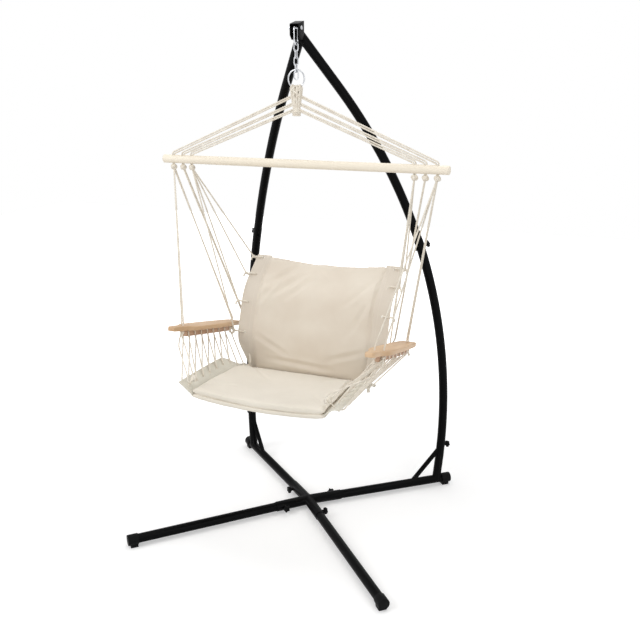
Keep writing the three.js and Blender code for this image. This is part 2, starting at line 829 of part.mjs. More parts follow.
function upperCord(sign, row, pairSide) {
  const exit = crownExit(sign, row);
  const side = sign * pairSide * pairOffset;
  const hole = vec(sign * barHolesX[row] + side, 0, barZ + barRadius + cordDiameter);
  const way = hole.clone().sub(exit).normalize();
  const beside = way.clone().cross(axisY).multiplyScalar(sign * pairSide * pairOffset);
  return [
    exit.clone().addScaledVector(way, -cordSeat).add(beside),
    exit.clone().add(beside),
    hole.clone().setZ(hole.z + pairSide * pairOffset),
    hole.clone().setZ(barZ + barRadius / 2),
    hole.clone().setZ(knotZ),
  ];
}

// A knot, as a faceted ball
function knot(centre, diameter) {
  const splits = diameter > smallKnotDiameter ? 1 : 0;
  return toSolid(new THREE.IcosahedronGeometry(diameter / 2, splits).translate(...centre.toArray()));
}

// Armrest points, measured along from the middle of the board to the rear, outward, and up
const armPitch = radians(armPitchDegrees);
const armPoint = (sign, along, out, up) =>
  vec(
    sign * (armX + out),
    armY + along * Math.cos(armPitch) + up * Math.sin(armPitch),
    armZ - along * Math.sin(armPitch) + up * Math.cos(armPitch),
  );
const armTip = -armLength / 2;
const armEnd = armLength / 2;
const frontHoles = [
  { along: armTip + frontHole, out: -frontHoleOut / 4 },
  { along: armTip + frontHole + frontHoleStep, out: frontHoleOut },
];
const rearHoleAlong = armEnd - rearHole;

// Board outline: share of the length from the tip, share of the half width
const armOutlineShares = [
  [0, 0.3],
  [0.03, 0.42],
  [0.14, 0.5],
  [0.19, 0.72],
  [0.23, 0.93],
  [0.32, 1],
  [0.6, 0.97],
  [0.85, 0.86],
  [0.97, 0.74],
  [1, 0.56],
];

function armShape() {
  const half = armWidth / 2;
  const edge = armOutlineShares.map(([share, width]) => [lerp(armTip, armEnd, share), width * half]);
  const back = [...edge].reverse().map(([x, y]) => [x, -y]);
  return outline([...back, ...edge].reverse());
}

// Turns a flat solid drawn along, outward and up into its place in the chair
function placeArm(geometry, sign) {
  const frame = new THREE.Matrix4().makeBasis(
    armPoint(sign, 1, 0, 0).sub(armPoint(sign, 0, 0, 0)),
    armPoint(sign, 0, 1, 0).sub(armPoint(sign, 0, 0, 0)),
    armPoint(sign, 0, 0, 1).sub(armPoint(sign, 0, 0, 0)),
  );
  frame.setPosition(armPoint(sign, 0, 0, 0));
  geometry.applyMatrix4(frame);
  if (frame.determinant() < 0) turnInsideOut(geometry);
  return toSolid(geometry);
}

// Reverses the order of each triangle's corners
function turnInsideOut(geometry) {
  if (!geometry.getIndex()) {
    const count = geometry.getAttribute('position').count;
    geometry.setIndex(Array.from({ length: count }, (unused, i) => i));
  }
  const index = geometry.getIndex();
  for (let i = 0; i < index.count; i += 3) {
    const second = index.getX(i + 1);
    index.setX(i + 1, index.getX(i + 2));
    index.setX(i + 2, second);
  }
}

const armDrill = (sign, along, out, diameter) =>
  rod(
    armPoint(sign, along, out, -overrun),
    armPoint(sign, along, out, armThickness + overrun),
    diameter / 2,
    facets.hole,
  );

function armrestBoard(sign) {
  const board = placeArm(prism(armShape(), armThickness, armEdge), sign);
  const drills = frontHoles.map(({ along, out }) => armDrill(sign, along, out, armHoleDiameter));
  return cut(board, ...drills, armDrill(sign, rearHoleAlong, 0, barHoleDiameter));
}

// Rail under the board, notched along its top edge where the net's cord passes over it
const railStart = armTip + railFront;
const railEnd = armEnd - railBack;
const notchAlong = Array.from({ length: notchCount }, (unused, i) =>
  lerp(railStart + railEndMargin, railEnd - railEndMargin, i / (notchCount - 1)),
);

function armrestRail(sign) {
  const top = -slip;
  const bottom = top - railHeight;
  const points = [[railStart, top]];
  notchAlong.forEach((along) => {
    const [from, to] = [along - notchWidth / 2, along + notchWidth / 2];
    points.push([from, top], [from, top - notchDepth], [to, top - notchDepth], [to, top]);
  });
  points.push([railEnd, top], [railEnd - railEndMargin, bottom], [railStart + railEndMargin / 2, bottom]);
  points.push([railStart, bottom + railEndMargin]);
  // The outline is drawn along and up, so its depth is outward
  const geometry = prism(outline(points), railWidth).translate(0, 0, -railWidth / 2);
  geometry.rotateX(Math.PI / 2);
  return placeArm(geometry, sign);
}

// Seat surface: u from -1 at the left seam to 1 at the right, v from 0 at the front to 1 at the crease
const smooth = (from, to, value) => THREE.MathUtils.smoothstep(value, from, to);
const creaseDropShare = 0.62; // where the side edges start to fall towards the crease

function seatPoint(u, v) {
  const half = lerp(seatFrontHalf, seatCreaseHalf, v ** 3);
  const edge = lerp(seatEdgeZ, seatCreaseEdgeZ, smooth(creaseDropShare, 1, v));
  const middle = lerp(seatFrontMidZ, seatCreaseMidZ, v);
  return vec(u * half, lerp(seatFrontY, creaseY, v), lerp(middle, edge, u * u));
}

// Back surface: v from 0 at the crease to 1 at the top, along a curve that leans back as it rises
const backLeanShares = [
  // height, lean
  [0, 0],
  [0.16, 0.02],
  [0.32, 0.045],
  [0.5, 0.16],
  [0.76, 0.4],
  [1, 1],
];
const backBottomZ = seatCreaseMidZ - seatThickness / 2;
const backCurve = new THREE.SplineCurve(
  backLeanShares.map(
    ([rise, lean]) => new THREE.Vector2(lerp(creaseY, backTopY, lean), lerp(backBottomZ, backTopZ, rise)),
  ),
);

function backPoint(u, v) {
  const half = lerp(backHalfBottom, backHalfTop, smooth(0, 0.35, v));
  const spot = backCurve.getPointAt(v);
  const middle = 1 - u * u;
  return vec(u * half, spot.x + backBow * middle * v, spot.y - backTopSag * middle * v);
}

const surfaceStep = 0.01;

function surfaceNormal(point, u, v) {
  const along = point(u, Math.min(v + surfaceStep, 1)).sub(point(u, Math.max(v - surfaceStep, 0)));
  const across = point(Math.min(u + surfaceStep, 1), v).sub(point(Math.max(u - surfaceStep, -1), v));
  return across.cross(along).normalize();
}

// A stuffed panel on a surface: crowned in the middle, thin along its seams
function cushion(point, { thickness, rim, frontRim = rim, from = 0, to = 1 }) {
  const uSteps = 14;
  const vSteps = 12;
  const crownPower = 4;
  const sheet = (face) =>
    Array.from({ length: vSteps + 1 }, (unusedRow, j) =>
      Array.from({ length: uSteps + 1 }, (unused, i) => {
        const u = lerp(-1, 1, i / uSteps);
        const share = j / vSteps;
        const v = lerp(from, to, share);
        const edgeThickness = lerp(frontRim, rim, smooth(0, 0.2, share));
        const crown = (1 - u ** crownPower) * (1 - Math.abs(2 * share - 1) ** crownPower);
        const sideways = 1 - u ** crownPower * (1 - rim / edgeThickness);
        const half = lerp(edgeThickness * sideways, thickness, Math.sqrt(crown)) / 2;
        return point(u, v).addScaledVector(surfaceNormal(point, u, v), face * half);
      }),
    );
  const top = sheet(1);
  const bottom = sheet(-1);
  const rings = top.map((row, j) => [...row, ...bottom[j].slice().reverse()]);
  return closedRows(rings, uSteps);
}

// Rows of a closed section, top points then bottom points back again, with gridded ends
function closedRows(rings, uSteps) {
  const around = rings[0].length;
  const positions = rings.flat().flatMap((point) => point.toArray());
  const indices = [];
  for (let j = 0; j < rings.length - 1; j += 1) {
    for (let k = 0; k < around; k += 1) {
      const turn = (k + 1) % around;
      const [a, b] = [j * around + k, j * around + turn];
      indices.push(a, b, b + around, a, b + around, a + around);
    }
  }
  const last = (rings.length - 1) * around;
  for (let i = 0; i < uSteps; i += 1) {
    const [top, next] = [i, i + 1];
    const [under, underNext] = [around - 1 - i, around - 2 - i];
    indices.push(top, underNext, next, top, under, underNext);
    indices.push(last + top, last + next, last + underNext, last + top, last + underNext, last + under);
  }
  const geometry = new THREE.BufferGeometry();
  geometry.setAttribute('position', new THREE.Float32BufferAttribute(positions, 3));
  geometry.setIndex(indices);
  geometry.computeVertexNormals();
  return geometry;
}

// A side strip: a flat hem sewn to a seam, with eyelets along it
function seatStripFrame(sign, v) {
  const seam = seatPoint(sign, v);
  const angle = radians(lerp(stripFrontAngleDegrees, stripRearAngleDegrees, v));
  const out = vec(sign * Math.cos(angle), 0, Math.sin(angle));
  return stripFrame(seatPoint, sign, v, seam, out);
}

function backStripFrame(sign, share) {
  const v = lerp(backStripStart, 1, share);
  return stripFrame(backPoint, sign, v, backPoint(sign, v), vec(sign, 0, 0));
}

// The seam of a strip, the way out across it, and the way up from it
function stripFrame(point, sign, v, seam, out) {
  const tangent = point(sign, Math.min(v + surfaceStep, 1)).sub(point(sign, Math.max(v - surfaceStep, 0)));
  const up = out.clone().cross(tangent).multiplyScalar(sign).normalize();
  return { seam, out, up };
}

const onStrip = ({ seam, out, up }, outBy, upBy = 0) =>
  seam.clone().addScaledVector(out, outBy).addScaledVector(up, upBy);

function strip(frameAt, eyeletShares, steps) {
  const half = stripThickness / 2;
  const rings = Array.from({ length: steps + 1 }, (unused, j) => {
    const frame = frameAt(j / steps);
    return [
      onStrip(frame, stripSeam, -half),
      onStrip(frame, stripWidth, -half),
      onStrip(frame, stripWidth, half),
      onStrip(frame, stripSeam, half),
    ];
  });
  const body = orientedSolid(rings);
  const holes = eyeletShares.map((v) => {
    const frame = frameAt(v);
    return rod(
      onStrip(frame, eyeletFromSeam, -stripThickness - overrun),
      onStrip(frame, eyeletFromSeam, stripThickness + overrun),
      eyeletDiameter / 2,
      facets.eyelet,
    );
  });
  return cut(body, ...holes);
}

// A solid from rings, whichever way round they were counted
function orientedSolid(rings) {
  const geometry = skin(rings);
  const solid = toSolid(geometry);
  if (solid.volume() > 0) return solid;
  turnInsideOut(geometry);
  return toSolid(geometry);
}

const seatEyeletShares = Array.from({ length: notchCount + 1 }, (unused, i) =>
  lerp(0.07, 0.9, i / notchCount),
);
const seatRearEyeletShare = 0.955;
const backStripStart = 0.22;
const backEyeletShares = [0.96, 0.74, 0.44, 0.14];
const seatStripSteps = 12;
const backStripSteps = 9;

// Net: one cord that zigzags between the rail's notches and the seat strip's eyelets
const netRadius = netCordDiameter / 2;

function overRail(sign, along) {
  const top = -slip - notchDepth;
  const bottom = -slip - railHeight;
  const clear = netRadius + cordSlip;
  const side = railWidth / 2;
  const slant = clear * Math.SQRT1_2;
  return [
    [side + clear, bottom],
    [side + clear, top],
    [side + slant, top + slant],
    [-side - slant, top + slant],
    [-side - clear, top],
    [-side - clear, top - notchDepth],
  ].map(([out, up]) => armPoint(sign, along, out, up));
}

function throughEyelet(sign, v) {
  const frame = seatStripFrame(sign, v);
  const clear = stripThickness / 2 + netRadius + cordSlip;
  const edge = stripWidth;
  const hole = eyeletFromSeam;
  return [
    onStrip(frame, hole, netCordDiameter),
    onStrip(frame, hole, -clear / 2),
    onStrip(frame, hole + netRadius, -clear),
    onStrip(frame, edge + clear / 2, -clear),
    onStrip(frame, edge + clear, 0),
  ];
}

function netPath(sign) {
  const points = [];
  notchAlong.forEach((along, i) => {
    points.push(...throughEyelet(sign, seatEyeletShares[i]), ...overRail(sign, along));
  });
  const last = seatStripFrame(sign, seatEyeletShares[notchCount]);
  points.push(onStrip(last, eyeletFromSeam, netCordDiameter));
  points.push(onStrip(last, eyeletFromSeam, -stripThickness - netCordDiameter));
  return points;
}

function net(sign) {
  const points = netPath(sign);
  const clear = (smallKnotDiameter + stripThickness) / 2 + cordSlip;
  const startKnot = onStrip(seatStripFrame(sign, seatEyeletShares[0]), eyeletFromSeam, clear);
  const endKnot = onStrip(seatStripFrame(sign, seatEyeletShares[notchCount]), eyeletFromSeam, -clear);
  return join(
    tubeSolid([startKnot, ...points], netRadius, facets.cord),
    knot(startKnot, smallKnotDiameter),
    knot(endKnot, smallKnotDiameter),
  );
}

// Lower cords: from the knot under the bar to what they carry

function toArmHole(sign, from, along, out) {
  return [
    from,
    armPoint(sign, along, out, armThickness + cordDiameter * 2),
    armPoint(sign, along, out, armThickness / 2),
    armPoint(sign, along, out, -smallKnotDiameter / 2),
  ];
}

// A loop through an eyelet of the back strip, tied off in a small knot beside the strip
function toBackEyelet(sign, from, v) {
  const frame = backStripFrame(sign, v);
  const clear = stripThickness / 2 + cordRadius + cordSlip;
  const tie = onStrip(frame, stripWidth + smallKnotDiameter, clear);
  const loop = [
    tie,
    onStrip(frame, eyeletFromSeam + cordRadius, clear + cordRadius),
    onStrip(frame, eyeletFromSeam, 0),
    onStrip(frame, eyeletFromSeam + cordRadius, -clear - cordRadius),
    onStrip(frame, stripWidth + cordDiameter, -clear),
    tie,
  ];
  return { line: [from, tie], loop, tie };
}

function frontRope(sign) {
  const knotCentre = vec(sign * barHolesX.front, 0, knotZ);
  const parts = frontHoles.map(({ along, out }) =>
    tubeSolid(toArmHole(sign, knotCentre, along, out), cordRadius, facets.cord),
  );
  frontHoles.forEach(({ along, out }) => {
    parts.push(knot(armPoint(sign, along, out, -smallKnotDiameter / 2 - slip), smallKnotDiameter));
  });
  pairSigns.forEach((pairSide) => {
    const line = toArmHole(sign, knotCentre, rearHoleAlong, pairSide * pairOffset);
    line[0] = line[0].clone().add(vec(0, pairSide * pairOffset, 0));
    parts.push(tubeSolid(line, cordRadius, facets.cord));
  });
  parts.push(knot(armPoint(sign, rearHoleAlong, 0, -knotDiameter / 2 - slip), knotDiameter * 0.9));
  return parts;
}

function middleRope(sign) {
  const knotCentre = vec(sign * barHolesX.middle, 0, knotZ);
  const frame = seatStripFrame(sign, seatRearEyeletShare);
  const boardEnd = armPoint(sign, armEnd, 0, 0);
  const beside = vec(sign * (armX - armWidth / 2 - smallKnotDiameter), boardEnd.y, boardEnd.z + armThickness);
  const parts = [];
  pairSigns.forEach((pairSide) => {
    const shift = vec(0, pairSide * pairOffset, 0);
    const line = [
      knotCentre.clone().add(shift),
      beside.clone().add(shift),
      onStrip(frame, eyeletFromSeam, smallKnotDiameter * 2).add(shift),
      onStrip(frame, eyeletFromSeam, smallKnotDiameter / 2 + stripThickness),
    ];
    parts.push(tubeSolid(line, cordRadius, facets.cord));
  });
  const clear = (smallKnotDiameter + stripThickness) / 2 + cordSlip;
  const stop = onStrip(frame, eyeletFromSeam, clear);
  const tail = onStrip(frame, eyeletFromSeam, -clear);
  parts.push(tubeSolid([stop, tail], cordRadius, facets.cord));
  parts.push(knot(stop, smallKnotDiameter), knot(tail, smallKnotDiameter));
  return parts;
}

function rearRope(sign) {
  const knotCentre = vec(sign * barHolesX.rear, 0, knotZ);
  const parts = [];
  backEyeletShares.forEach((v) => {
    const { line, loop, tie } = toBackEyelet(sign, knotCentre, v);
    parts.push(tubeSolid(line, cordRadius, facets.cord));
    parts.push(tubeSolid(loop, cordRadius, facets.cord), knot(tie, smallKnotDiameter));
  });
  return parts;
}

const ropeBuilders = { front: frontRope, middle: middleRope, rear: rearRope };

function rope(sign, row) {
  const upper = pairSigns.map((pairSide) =>
    tubeSolid(upperCord(sign, row, pairSide), cordRadius, facets.cord),
  );
  const centre = vec(sign * barHolesX[row], 0, knotZ);
  return join(...upper, knot(centre, knotDiameter), ...ropeBuilders[row](sign));
}

// The crown is open for the ring's wire and, at each exit, for a pair of cords
function ropeCrown() {
  const socketRadius = (cordRadius + pairOffset + slip) / Math.cos(Math.PI / facets.hole);
  const sockets = sides.flatMap(({ sign }) =>
    Object.keys(barHolesX).map((row) => {
      const [start, exit, out] = upperCord(sign, row, 0);
      return tubeSolid([stretched([start, exit], slip)[0], exit, out], socketRadius, facets.hole);
    }),
  );
  return cut(crownBundle(), toSolid(ringTube(ringWire / 2 + slip, facets.wire)), ...sockets);
}

function spreaderBar() {
  const ends = [
    [-barHalfLength, barRadius - barEdgeRound],
    [-barHalfLength + barEdgeRound, barRadius],
    [barHalfLength - barEdgeRound, barRadius],
    [barHalfLength, barRadius - barEdgeRound],
  ];
  const body = tubeSolid(
    ends.map(([x]) => vec(x, 0, barZ)),
    ends.map(([, radius]) => radius),
    facets.bar,
  );
  const holes = sides.flatMap(({ sign }) =>
    Object.values(barHolesX).map((x) =>
      rod(
        vec(sign * x, 0, barZ - barRadius - overrun),
        vec(sign * x, 0, barZ + barRadius + overrun),
        barHoleDiameter / 2,
        facets.hole,
      ),
    ),
  );
  return cut(body, ...holes);
}

function buildChair() {
  addMesh(chair, 'rope_crown', ropeCrown(), ropeCream);
  addMesh(chair, 'spreader_bar', spreaderBar(), paleWood);
  sides.forEach(({ name, sign }) => {
    Object.keys(barHolesX).forEach((row) => {
      addMesh(chair, `rope_${row}_${name}`, rope(sign, row), ropeCream);
    });
    addMesh(chair, `armrest_board_${name}`, armrestBoard(sign), tanWood);
    addMesh(chair, `armrest_rail_${name}`, armrestRail(sign), tanWood);
    addMesh(chair, `side_net_${name}`, net(sign), ropeCream);
    const seatHoles = [...seatEyeletShares, seatRearEyeletShare];
    const seatFrame = (v) => seatStripFrame(sign, v);
    const backFrame = (v) => backStripFrame(sign, v);
    addMesh(chair, `seat_strip_${name}`, strip(seatFrame, seatHoles, seatStripSteps), canvasEdge);
    addMesh(chair, `back_strip_${name}`, strip(backFrame, backEyeletShares, backStripSteps), canvasEdge);
  });
  const seatPanel = { thickness: seatThickness, rim: seatRim, frontRim: seatFrontRim };
  const backStart = (creaseGap + seatThickness / 2) / (backTopZ - backBottomZ);
  const backPanel = { thickness: backThickness, rim: backRim, from: backStart };
  addMesh(chair, 'seat_cushion', cushion(seatPoint, seatPanel), canvasCream);
  addMesh(chair, 'back_cushion', cushion(backPoint, backPanel), canvasCream);
}

buildStand();
buildTop();
buildHardware();
buildChair();

// The origin is the middle of the footprint: the front and rear foot caps reach equally far from it
function footReachY(leg) {
  const end = leg.reach + slip + capWall;
  return end * Math.abs(leg.along.y) + capRadius * Math.abs(leg.along.x);
}

const hammockChair = new THREE.Group();
hammockChair.position.y = (footReachY(legNamed.front_left) - footReachY(legNamed.rear_left)) / 2;
hammockChair.add(stand, chair);

export default hammockChair;
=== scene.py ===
# %% [markdown]
# # A hammock chair on a steel stand
# The chair hangs by a chain from two bent tubes. The CAD model gives every piece its place and size.
# This file softens the edges of the hard pieces, draws tubes, knobs, chain and armrests again with
# finer curves, and makes the soft pieces anew: twisted cords, knots, the braided crown, padded panels
# and hems with eyelets. Every piece gets a material, and moves with the CAD piece that it stands for.

import json
import math

import bmesh
import bpy
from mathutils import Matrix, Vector, noise


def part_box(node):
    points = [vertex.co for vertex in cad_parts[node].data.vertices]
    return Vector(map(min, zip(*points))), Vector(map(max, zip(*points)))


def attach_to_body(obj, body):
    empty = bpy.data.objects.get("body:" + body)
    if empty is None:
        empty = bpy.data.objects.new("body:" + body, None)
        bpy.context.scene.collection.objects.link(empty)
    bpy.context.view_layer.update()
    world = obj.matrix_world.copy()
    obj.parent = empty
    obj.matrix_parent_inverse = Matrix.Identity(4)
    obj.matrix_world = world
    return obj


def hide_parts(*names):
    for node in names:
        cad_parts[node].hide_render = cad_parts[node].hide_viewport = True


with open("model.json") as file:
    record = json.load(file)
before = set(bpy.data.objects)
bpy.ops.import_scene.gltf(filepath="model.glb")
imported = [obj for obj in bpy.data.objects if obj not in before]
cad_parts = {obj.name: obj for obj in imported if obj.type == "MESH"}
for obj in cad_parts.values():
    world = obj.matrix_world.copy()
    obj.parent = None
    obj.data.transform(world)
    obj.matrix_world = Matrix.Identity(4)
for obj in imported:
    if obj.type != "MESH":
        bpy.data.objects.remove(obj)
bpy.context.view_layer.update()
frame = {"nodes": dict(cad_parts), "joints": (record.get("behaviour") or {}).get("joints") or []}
nodes = frame["nodes"]
full_turn = math.tau
across = Vector((1, 0, 0))
rearward = Vector((0, 1, 0))
up = Vector((0, 0, 1))
side_signs = {"left": -1, "right": 1}
print("pieces in the frame:", len(nodes))

# %% [markdown]
# ## The measures that the chair is drawn from
# Everything on the chair is measured from the bolt that it hangs on, so the same numbers work
# wherever the stand is. They are the CAD's own numbers, in metres, apart from the cords, which are
# drawn a little thicker because their three strands leave hollows between them.

# %% Measures of the chair
bolt_low, bolt_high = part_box("hang_bolt")
bolt_y = (bolt_low.y + bolt_high.y) / 2
cord_radius = 0.0033
net_radius = 0.003
pair_offset = 0.0031
bar_height = 1.494
bar_radius = 0.0165
bar_holes = {"front": 0.544, "middle": 0.5, "rear": 0.46}
knot_size = 0.028
small_knot_size = 0.015
cord_slip = 0.001
piece_gap = 0.0003
knot_height = bar_height - bar_radius - piece_gap - knot_size / 2


def lerp(a, b, share):
    """The value at a share of the way from a to b."""
    return a + (b - a) * share


def smooth(low, high, value):
    """A share that rises gently from 0 at low to 1 at high."""
    share = min(max((value - low) / (high - low), 0), 1)
    return share * share * (3 - 2 * share)


def spot(x, y, z):
    """A point whose y is measured from the bolt."""
    return Vector((x, y + bolt_y, z))


print("the bolt is at y =", round(bolt_y, 4))

# %% [markdown]
# ## Materials
# A material that looks real has more than a colour. Powder coat has a fine orange peel, wood has
# long grain, and cotton has a weave. Each one here is made of noise and waves, with no pictures.

# %% Helpers for materials
ramp_places = (0.3, 0.7)


def new_material(name, colour, roughness, metallic=0.0):
    material = bpy.data.materials.new(name)
    material.use_nodes = True
    shader = material.node_tree.nodes["Principled BSDF"]
    shader.inputs["Base Color"].default_value = (*colour, 1)
    shader.inputs["Roughness"].default_value = roughness
    shader.inputs["Metallic"].default_value = metallic
    return material, shader


def add_node(material, kind, entries=None, **settings):
    """A new node. Its entries are the values of its sockets."""
    node = material.node_tree.nodes.new(kind)
    for name, value in settings.items():
        setattr(node, name, value)
    for entry, value in (entries or {}).items():
        node.inputs[entry].default_value = value
    return node


def link(material, source, output, target, entry):
    material.node_tree.links.new(source.outputs[output], target.inputs[entry])


def object_space(material, stretch=(1, 1, 1)):
    place = add_node(material, "ShaderNodeTexCoord")
    mapping = add_node(material, "ShaderNodeMapping", {"Scale": stretch})
    link(material, place, "Object", mapping, "Vector")
    return mapping


def noise_over(material, mapping, scale, detail=3.0):
    pattern = add_node(material, "ShaderNodeTexNoise", {"Scale": scale, "Detail": detail})
    link(material, mapping, "Vector", pattern, "Vector")
    return pattern


def colour_between(material, shader, source, output, dark, light):
    ramp = add_node(material, "ShaderNodeValToRGB")
    for stop, place, colour in zip(ramp.color_ramp.elements, ramp_places, (dark, light)):
        stop.position = place
        stop.color = (*colour, 1)
    link(material, source, output, ramp, "Fac")
    link(material, ramp, "Color", shader, "Base Color")


def roughness_between(material, shader, source, output, low, high):
    span = add_node(material, "ShaderNodeMapRange", {"To Min": low, "To Max": high})
    link(material, source, output, span, "Value")
    link(material, span, "Result", shader, "Roughness")


def bump_from(material, shader, source, output, distance, strength):
    bump = add_node(material, "ShaderNodeBump", {"Distance": distance, "Strength": strength})
    link(material, source, output, bump, "Height")
    link(material, bump, "Normal", shader, "Normal")


print("helpers for materials are ready")

# %% [markdown]
# ### Powder-coated steel and black plastic
# Powder coat is sprayed as dust and baked, which leaves a satin skin with a faint orange peel.
# The moulded caps and knobs are duller, with a fine grain from the mould.

# %% Black finishes


def powder_coat():
    black = (0.0022, 0.0023, 0.0026)
    material, shader = new_material("satin_black_powder_coat", black, roughness=0.32)
    shader.inputs["Specular IOR Level"].default_value = 0.045
    mapping = object_space(material)
    peel = noise_over(material, mapping, scale=900)
    bump_from(material, shader, peel, "Fac", distance=0.0004, strength=0.25)
    dust = noise_over(material, mapping, scale=9)
    roughness_between(material, shader, dust, "Fac", low=0.26, high=0.38)
    return material


def moulded_black():
    black = (0.0034, 0.0035, 0.0038)
    material, shader = new_material("moulded_black_plastic", black, roughness=0.5)
    shader.inputs["Specular IOR Level"].default_value = 0.08
    mapping = object_space(material)
    grain = noise_over(material, mapping, scale=1600)
    bump_from(material, shader, grain, "Fac", distance=0.0005, strength=0.35)
    rubbed = noise_over(material, mapping, scale=30)
    roughness_between(material, shader, rubbed, "Fac", low=0.42, high=0.6)
    return material


steel_black = powder_coat()
plastic_black = moulded_black()
print("made", steel_black.name, "and", plastic_black.name)

# %% [markdown]
# ### Chrome
# Plated links are bright, but never perfect: handling leaves faint smears that spread the reflection.

# %% Chrome


def plated():
    silver = (0.5, 0.51, 0.53)
    material, shader = new_material("bright_chrome", silver, roughness=0.12, metallic=1.0)
    mapping = object_space(material)
    smears = noise_over(material, mapping, scale=120)
    roughness_between(material, shader, smears, "Fac", low=0.08, high=0.24)
    return material


chrome = plated()
print("made", chrome.name)

# %% [markdown]
# ### Wood
# Grain runs along a board, so the noise is stretched along it. The bar is pale and nearly plain; the
# armrests are tan, with darker lines.

# %% Wood
bar_grain, arm_grain = (0.08, 1, 1), (1, 0.07, 1)
wear = 0.08


def grained(name, dark, light, stretch, roughness):
    material, shader = new_material(name, light, roughness)
    mapping = object_space(material, stretch)
    broad = noise_over(material, mapping, scale=22, detail=6.0)
    colour_between(material, shader, broad, "Fac", dark, light)
    pores = noise_over(material, mapping, scale=160, detail=4.0)
    bump_from(material, shader, pores, "Fac", distance=0.0003, strength=0.3)
    roughness_between(material, shader, pores, "Fac", roughness - wear, roughness + wear)
    return material


pale_dark, pale_light = (0.77, 0.69, 0.56), (0.87, 0.8, 0.68)
tan_dark, tan_light = (0.53, 0.34, 0.19), (0.68, 0.48, 0.3)
brown_dark, brown_light = (0.45, 0.27, 0.18), (0.57, 0.38, 0.26)
bar_wood = grained("pale_bar_wood", pale_dark, pale_light, bar_grain, roughness=0.55)
board_wood = grained("tan_board_wood", tan_dark, tan_light, arm_grain, roughness=0.5)
rail_wood = grained("tan_rail_wood", brown_dark, brown_light, arm_grain, roughness=0.55)
print("made", bar_wood.name, board_wood.name, rail_wood.name)

# %% [markdown]
# ### Cotton: cord and canvas
# The lay of each cord is real geometry, so its material only adds fuzz. Canvas has a plain weave:
# two sets of waves cross at right angles, a little over a millimetre apart, along the cloth's own
# directions. Sheen gives the soft rim that cotton has.

# %% Cord and canvas
threads_scale = 260


def cotton_cord():
    dark, middle, light = (0.7, 0.63, 0.53), (0.74, 0.67, 0.56), (0.82, 0.77, 0.67)
    material, shader = new_material("cotton_cord", middle, roughness=0.95)
    mapping = object_space(material)
    patches = noise_over(material, mapping, scale=60)
    colour_between(material, shader, patches, "Fac", dark, light)
    fibres = noise_over(material, mapping, scale=2500, detail=2.0)
    bump_from(material, shader, fibres, "Fac", distance=0.0004, strength=0.5)
    shader.inputs["Sheen Weight"].default_value = 0.25
    return material


def threads(material, mapping, direction):
    entries = {"Scale": threads_scale, "Distortion": 0.6, "Detail": 1.0}
    pattern = add_node(material, "ShaderNodeTexWave", entries, bands_direction=direction)
    link(material, mapping, "Vector", pattern, "Vector")
    return pattern


def canvas(name, dark, light, second):
    """Canvas whose threads run across the chair and in a second direction."""
    material, shader = new_material(name, light, roughness=0.9)
    mapping = object_space(material)
    patches = noise_over(material, mapping, scale=7)
    colour_between(material, shader, patches, "Fac", dark, light)
    weave = add_node(material, "ShaderNodeMath", operation="MULTIPLY")
    link(material, threads(material, mapping, "X"), "Fac", weave, 0)
    link(material, threads(material, mapping, second), "Fac", weave, 1)
    bump_from(material, shader, weave, "Value", distance=0.0005, strength=0.4)
    shader.inputs["Sheen Weight"].default_value = 0.2
    return material


rope_cotton = cotton_cord()
canvases = {}
for place, dark, light, second in (
    ("seat", (0.72, 0.665, 0.57), (0.77, 0.715, 0.62), "Y"),
    ("back", (0.68, 0.6, 0.5), (0.73, 0.66, 0.56), "Z"),
    ("edging_seat", (0.64, 0.61, 0.52), (0.7, 0.67, 0.58), "Y"),
    ("edging_back", (0.64, 0.57, 0.48), (0.69, 0.62, 0.53), "Z"),
):
    canvases[place] = canvas(f"cream_canvas_{place}", dark, light, second)
print("made", rope_cotton.name, "and", len(canvases), "canvases")

# %% [markdown]
# ## Camera
# The photograph was taken from the right of the front and from above, with a normal lens. A camera
# looks along its own minus z, so it is tipped up from straight down, then turned round the vertical.

# %% Camera
camera_azimuth = math.radians(22.3)
camera_elevation = math.radians(16.7)
camera_place = Vector((1.2541, -2.829, 1.8003))
photo_width = 640
focal_pixels = 802.08
sensor_width = 36
picture_shift = -0.0036
camera_data = bpy.data.cameras.new("photo_camera")
camera_data.sensor_width = sensor_width
camera_data.lens = focal_pixels / photo_width * sensor_width
camera_data.shift_x = picture_shift
camera = bpy.data.objects.new("photo_camera", camera_data)
camera.location = camera_place
camera.rotation_euler = (math.pi / 2 - camera_elevation, 0, camera_azimuth)
bpy.context.scene.collection.objects.link(camera)
bpy.context.scene.camera = camera
print("lens:", round(camera_data.lens, 1), "mm")

# %% [markdown]
# ## Light
# Large square lamps give the soft, even light of a studio, and a white sky fills the shadows. The sky
# is brighter to the camera than to the chair: it shows as white behind the chair and in its chrome,
# without washing out the canvas.

# %% Lamps and world


def area_lamp(name, place, aim, size, power):
    data = bpy.data.lights.new(name, "AREA")
    data.shape = "SQUARE"
    data.size = size
    data.energy = power
    lamp = bpy.data.objects.new(name, data)
    lamp.location = place
    lamp.rotation_euler = (Vector(aim) - Vector(place)).to_track_quat("-Z", "Y").to_euler()
    bpy.context.scene.collection.objects.link(lamp)


def background_rays(tree):
    """1 for the rays that show the background: seen directly, in shiny metal, or through glass."""
    rays = tree.nodes.new("ShaderNodeLightPath")
    seen = rays.outputs["Is Camera Ray"]
    for kind in ("Is Glossy Ray", "Is Transmission Ray"):
        either = tree.nodes.new("ShaderNodeMath")
        either.operation = "MAXIMUM"
        tree.links.new(seen, either.inputs[0])
        tree.links.new(rays.outputs[kind], either.inputs[1])
        seen = either.outputs["Value"]
    return seen


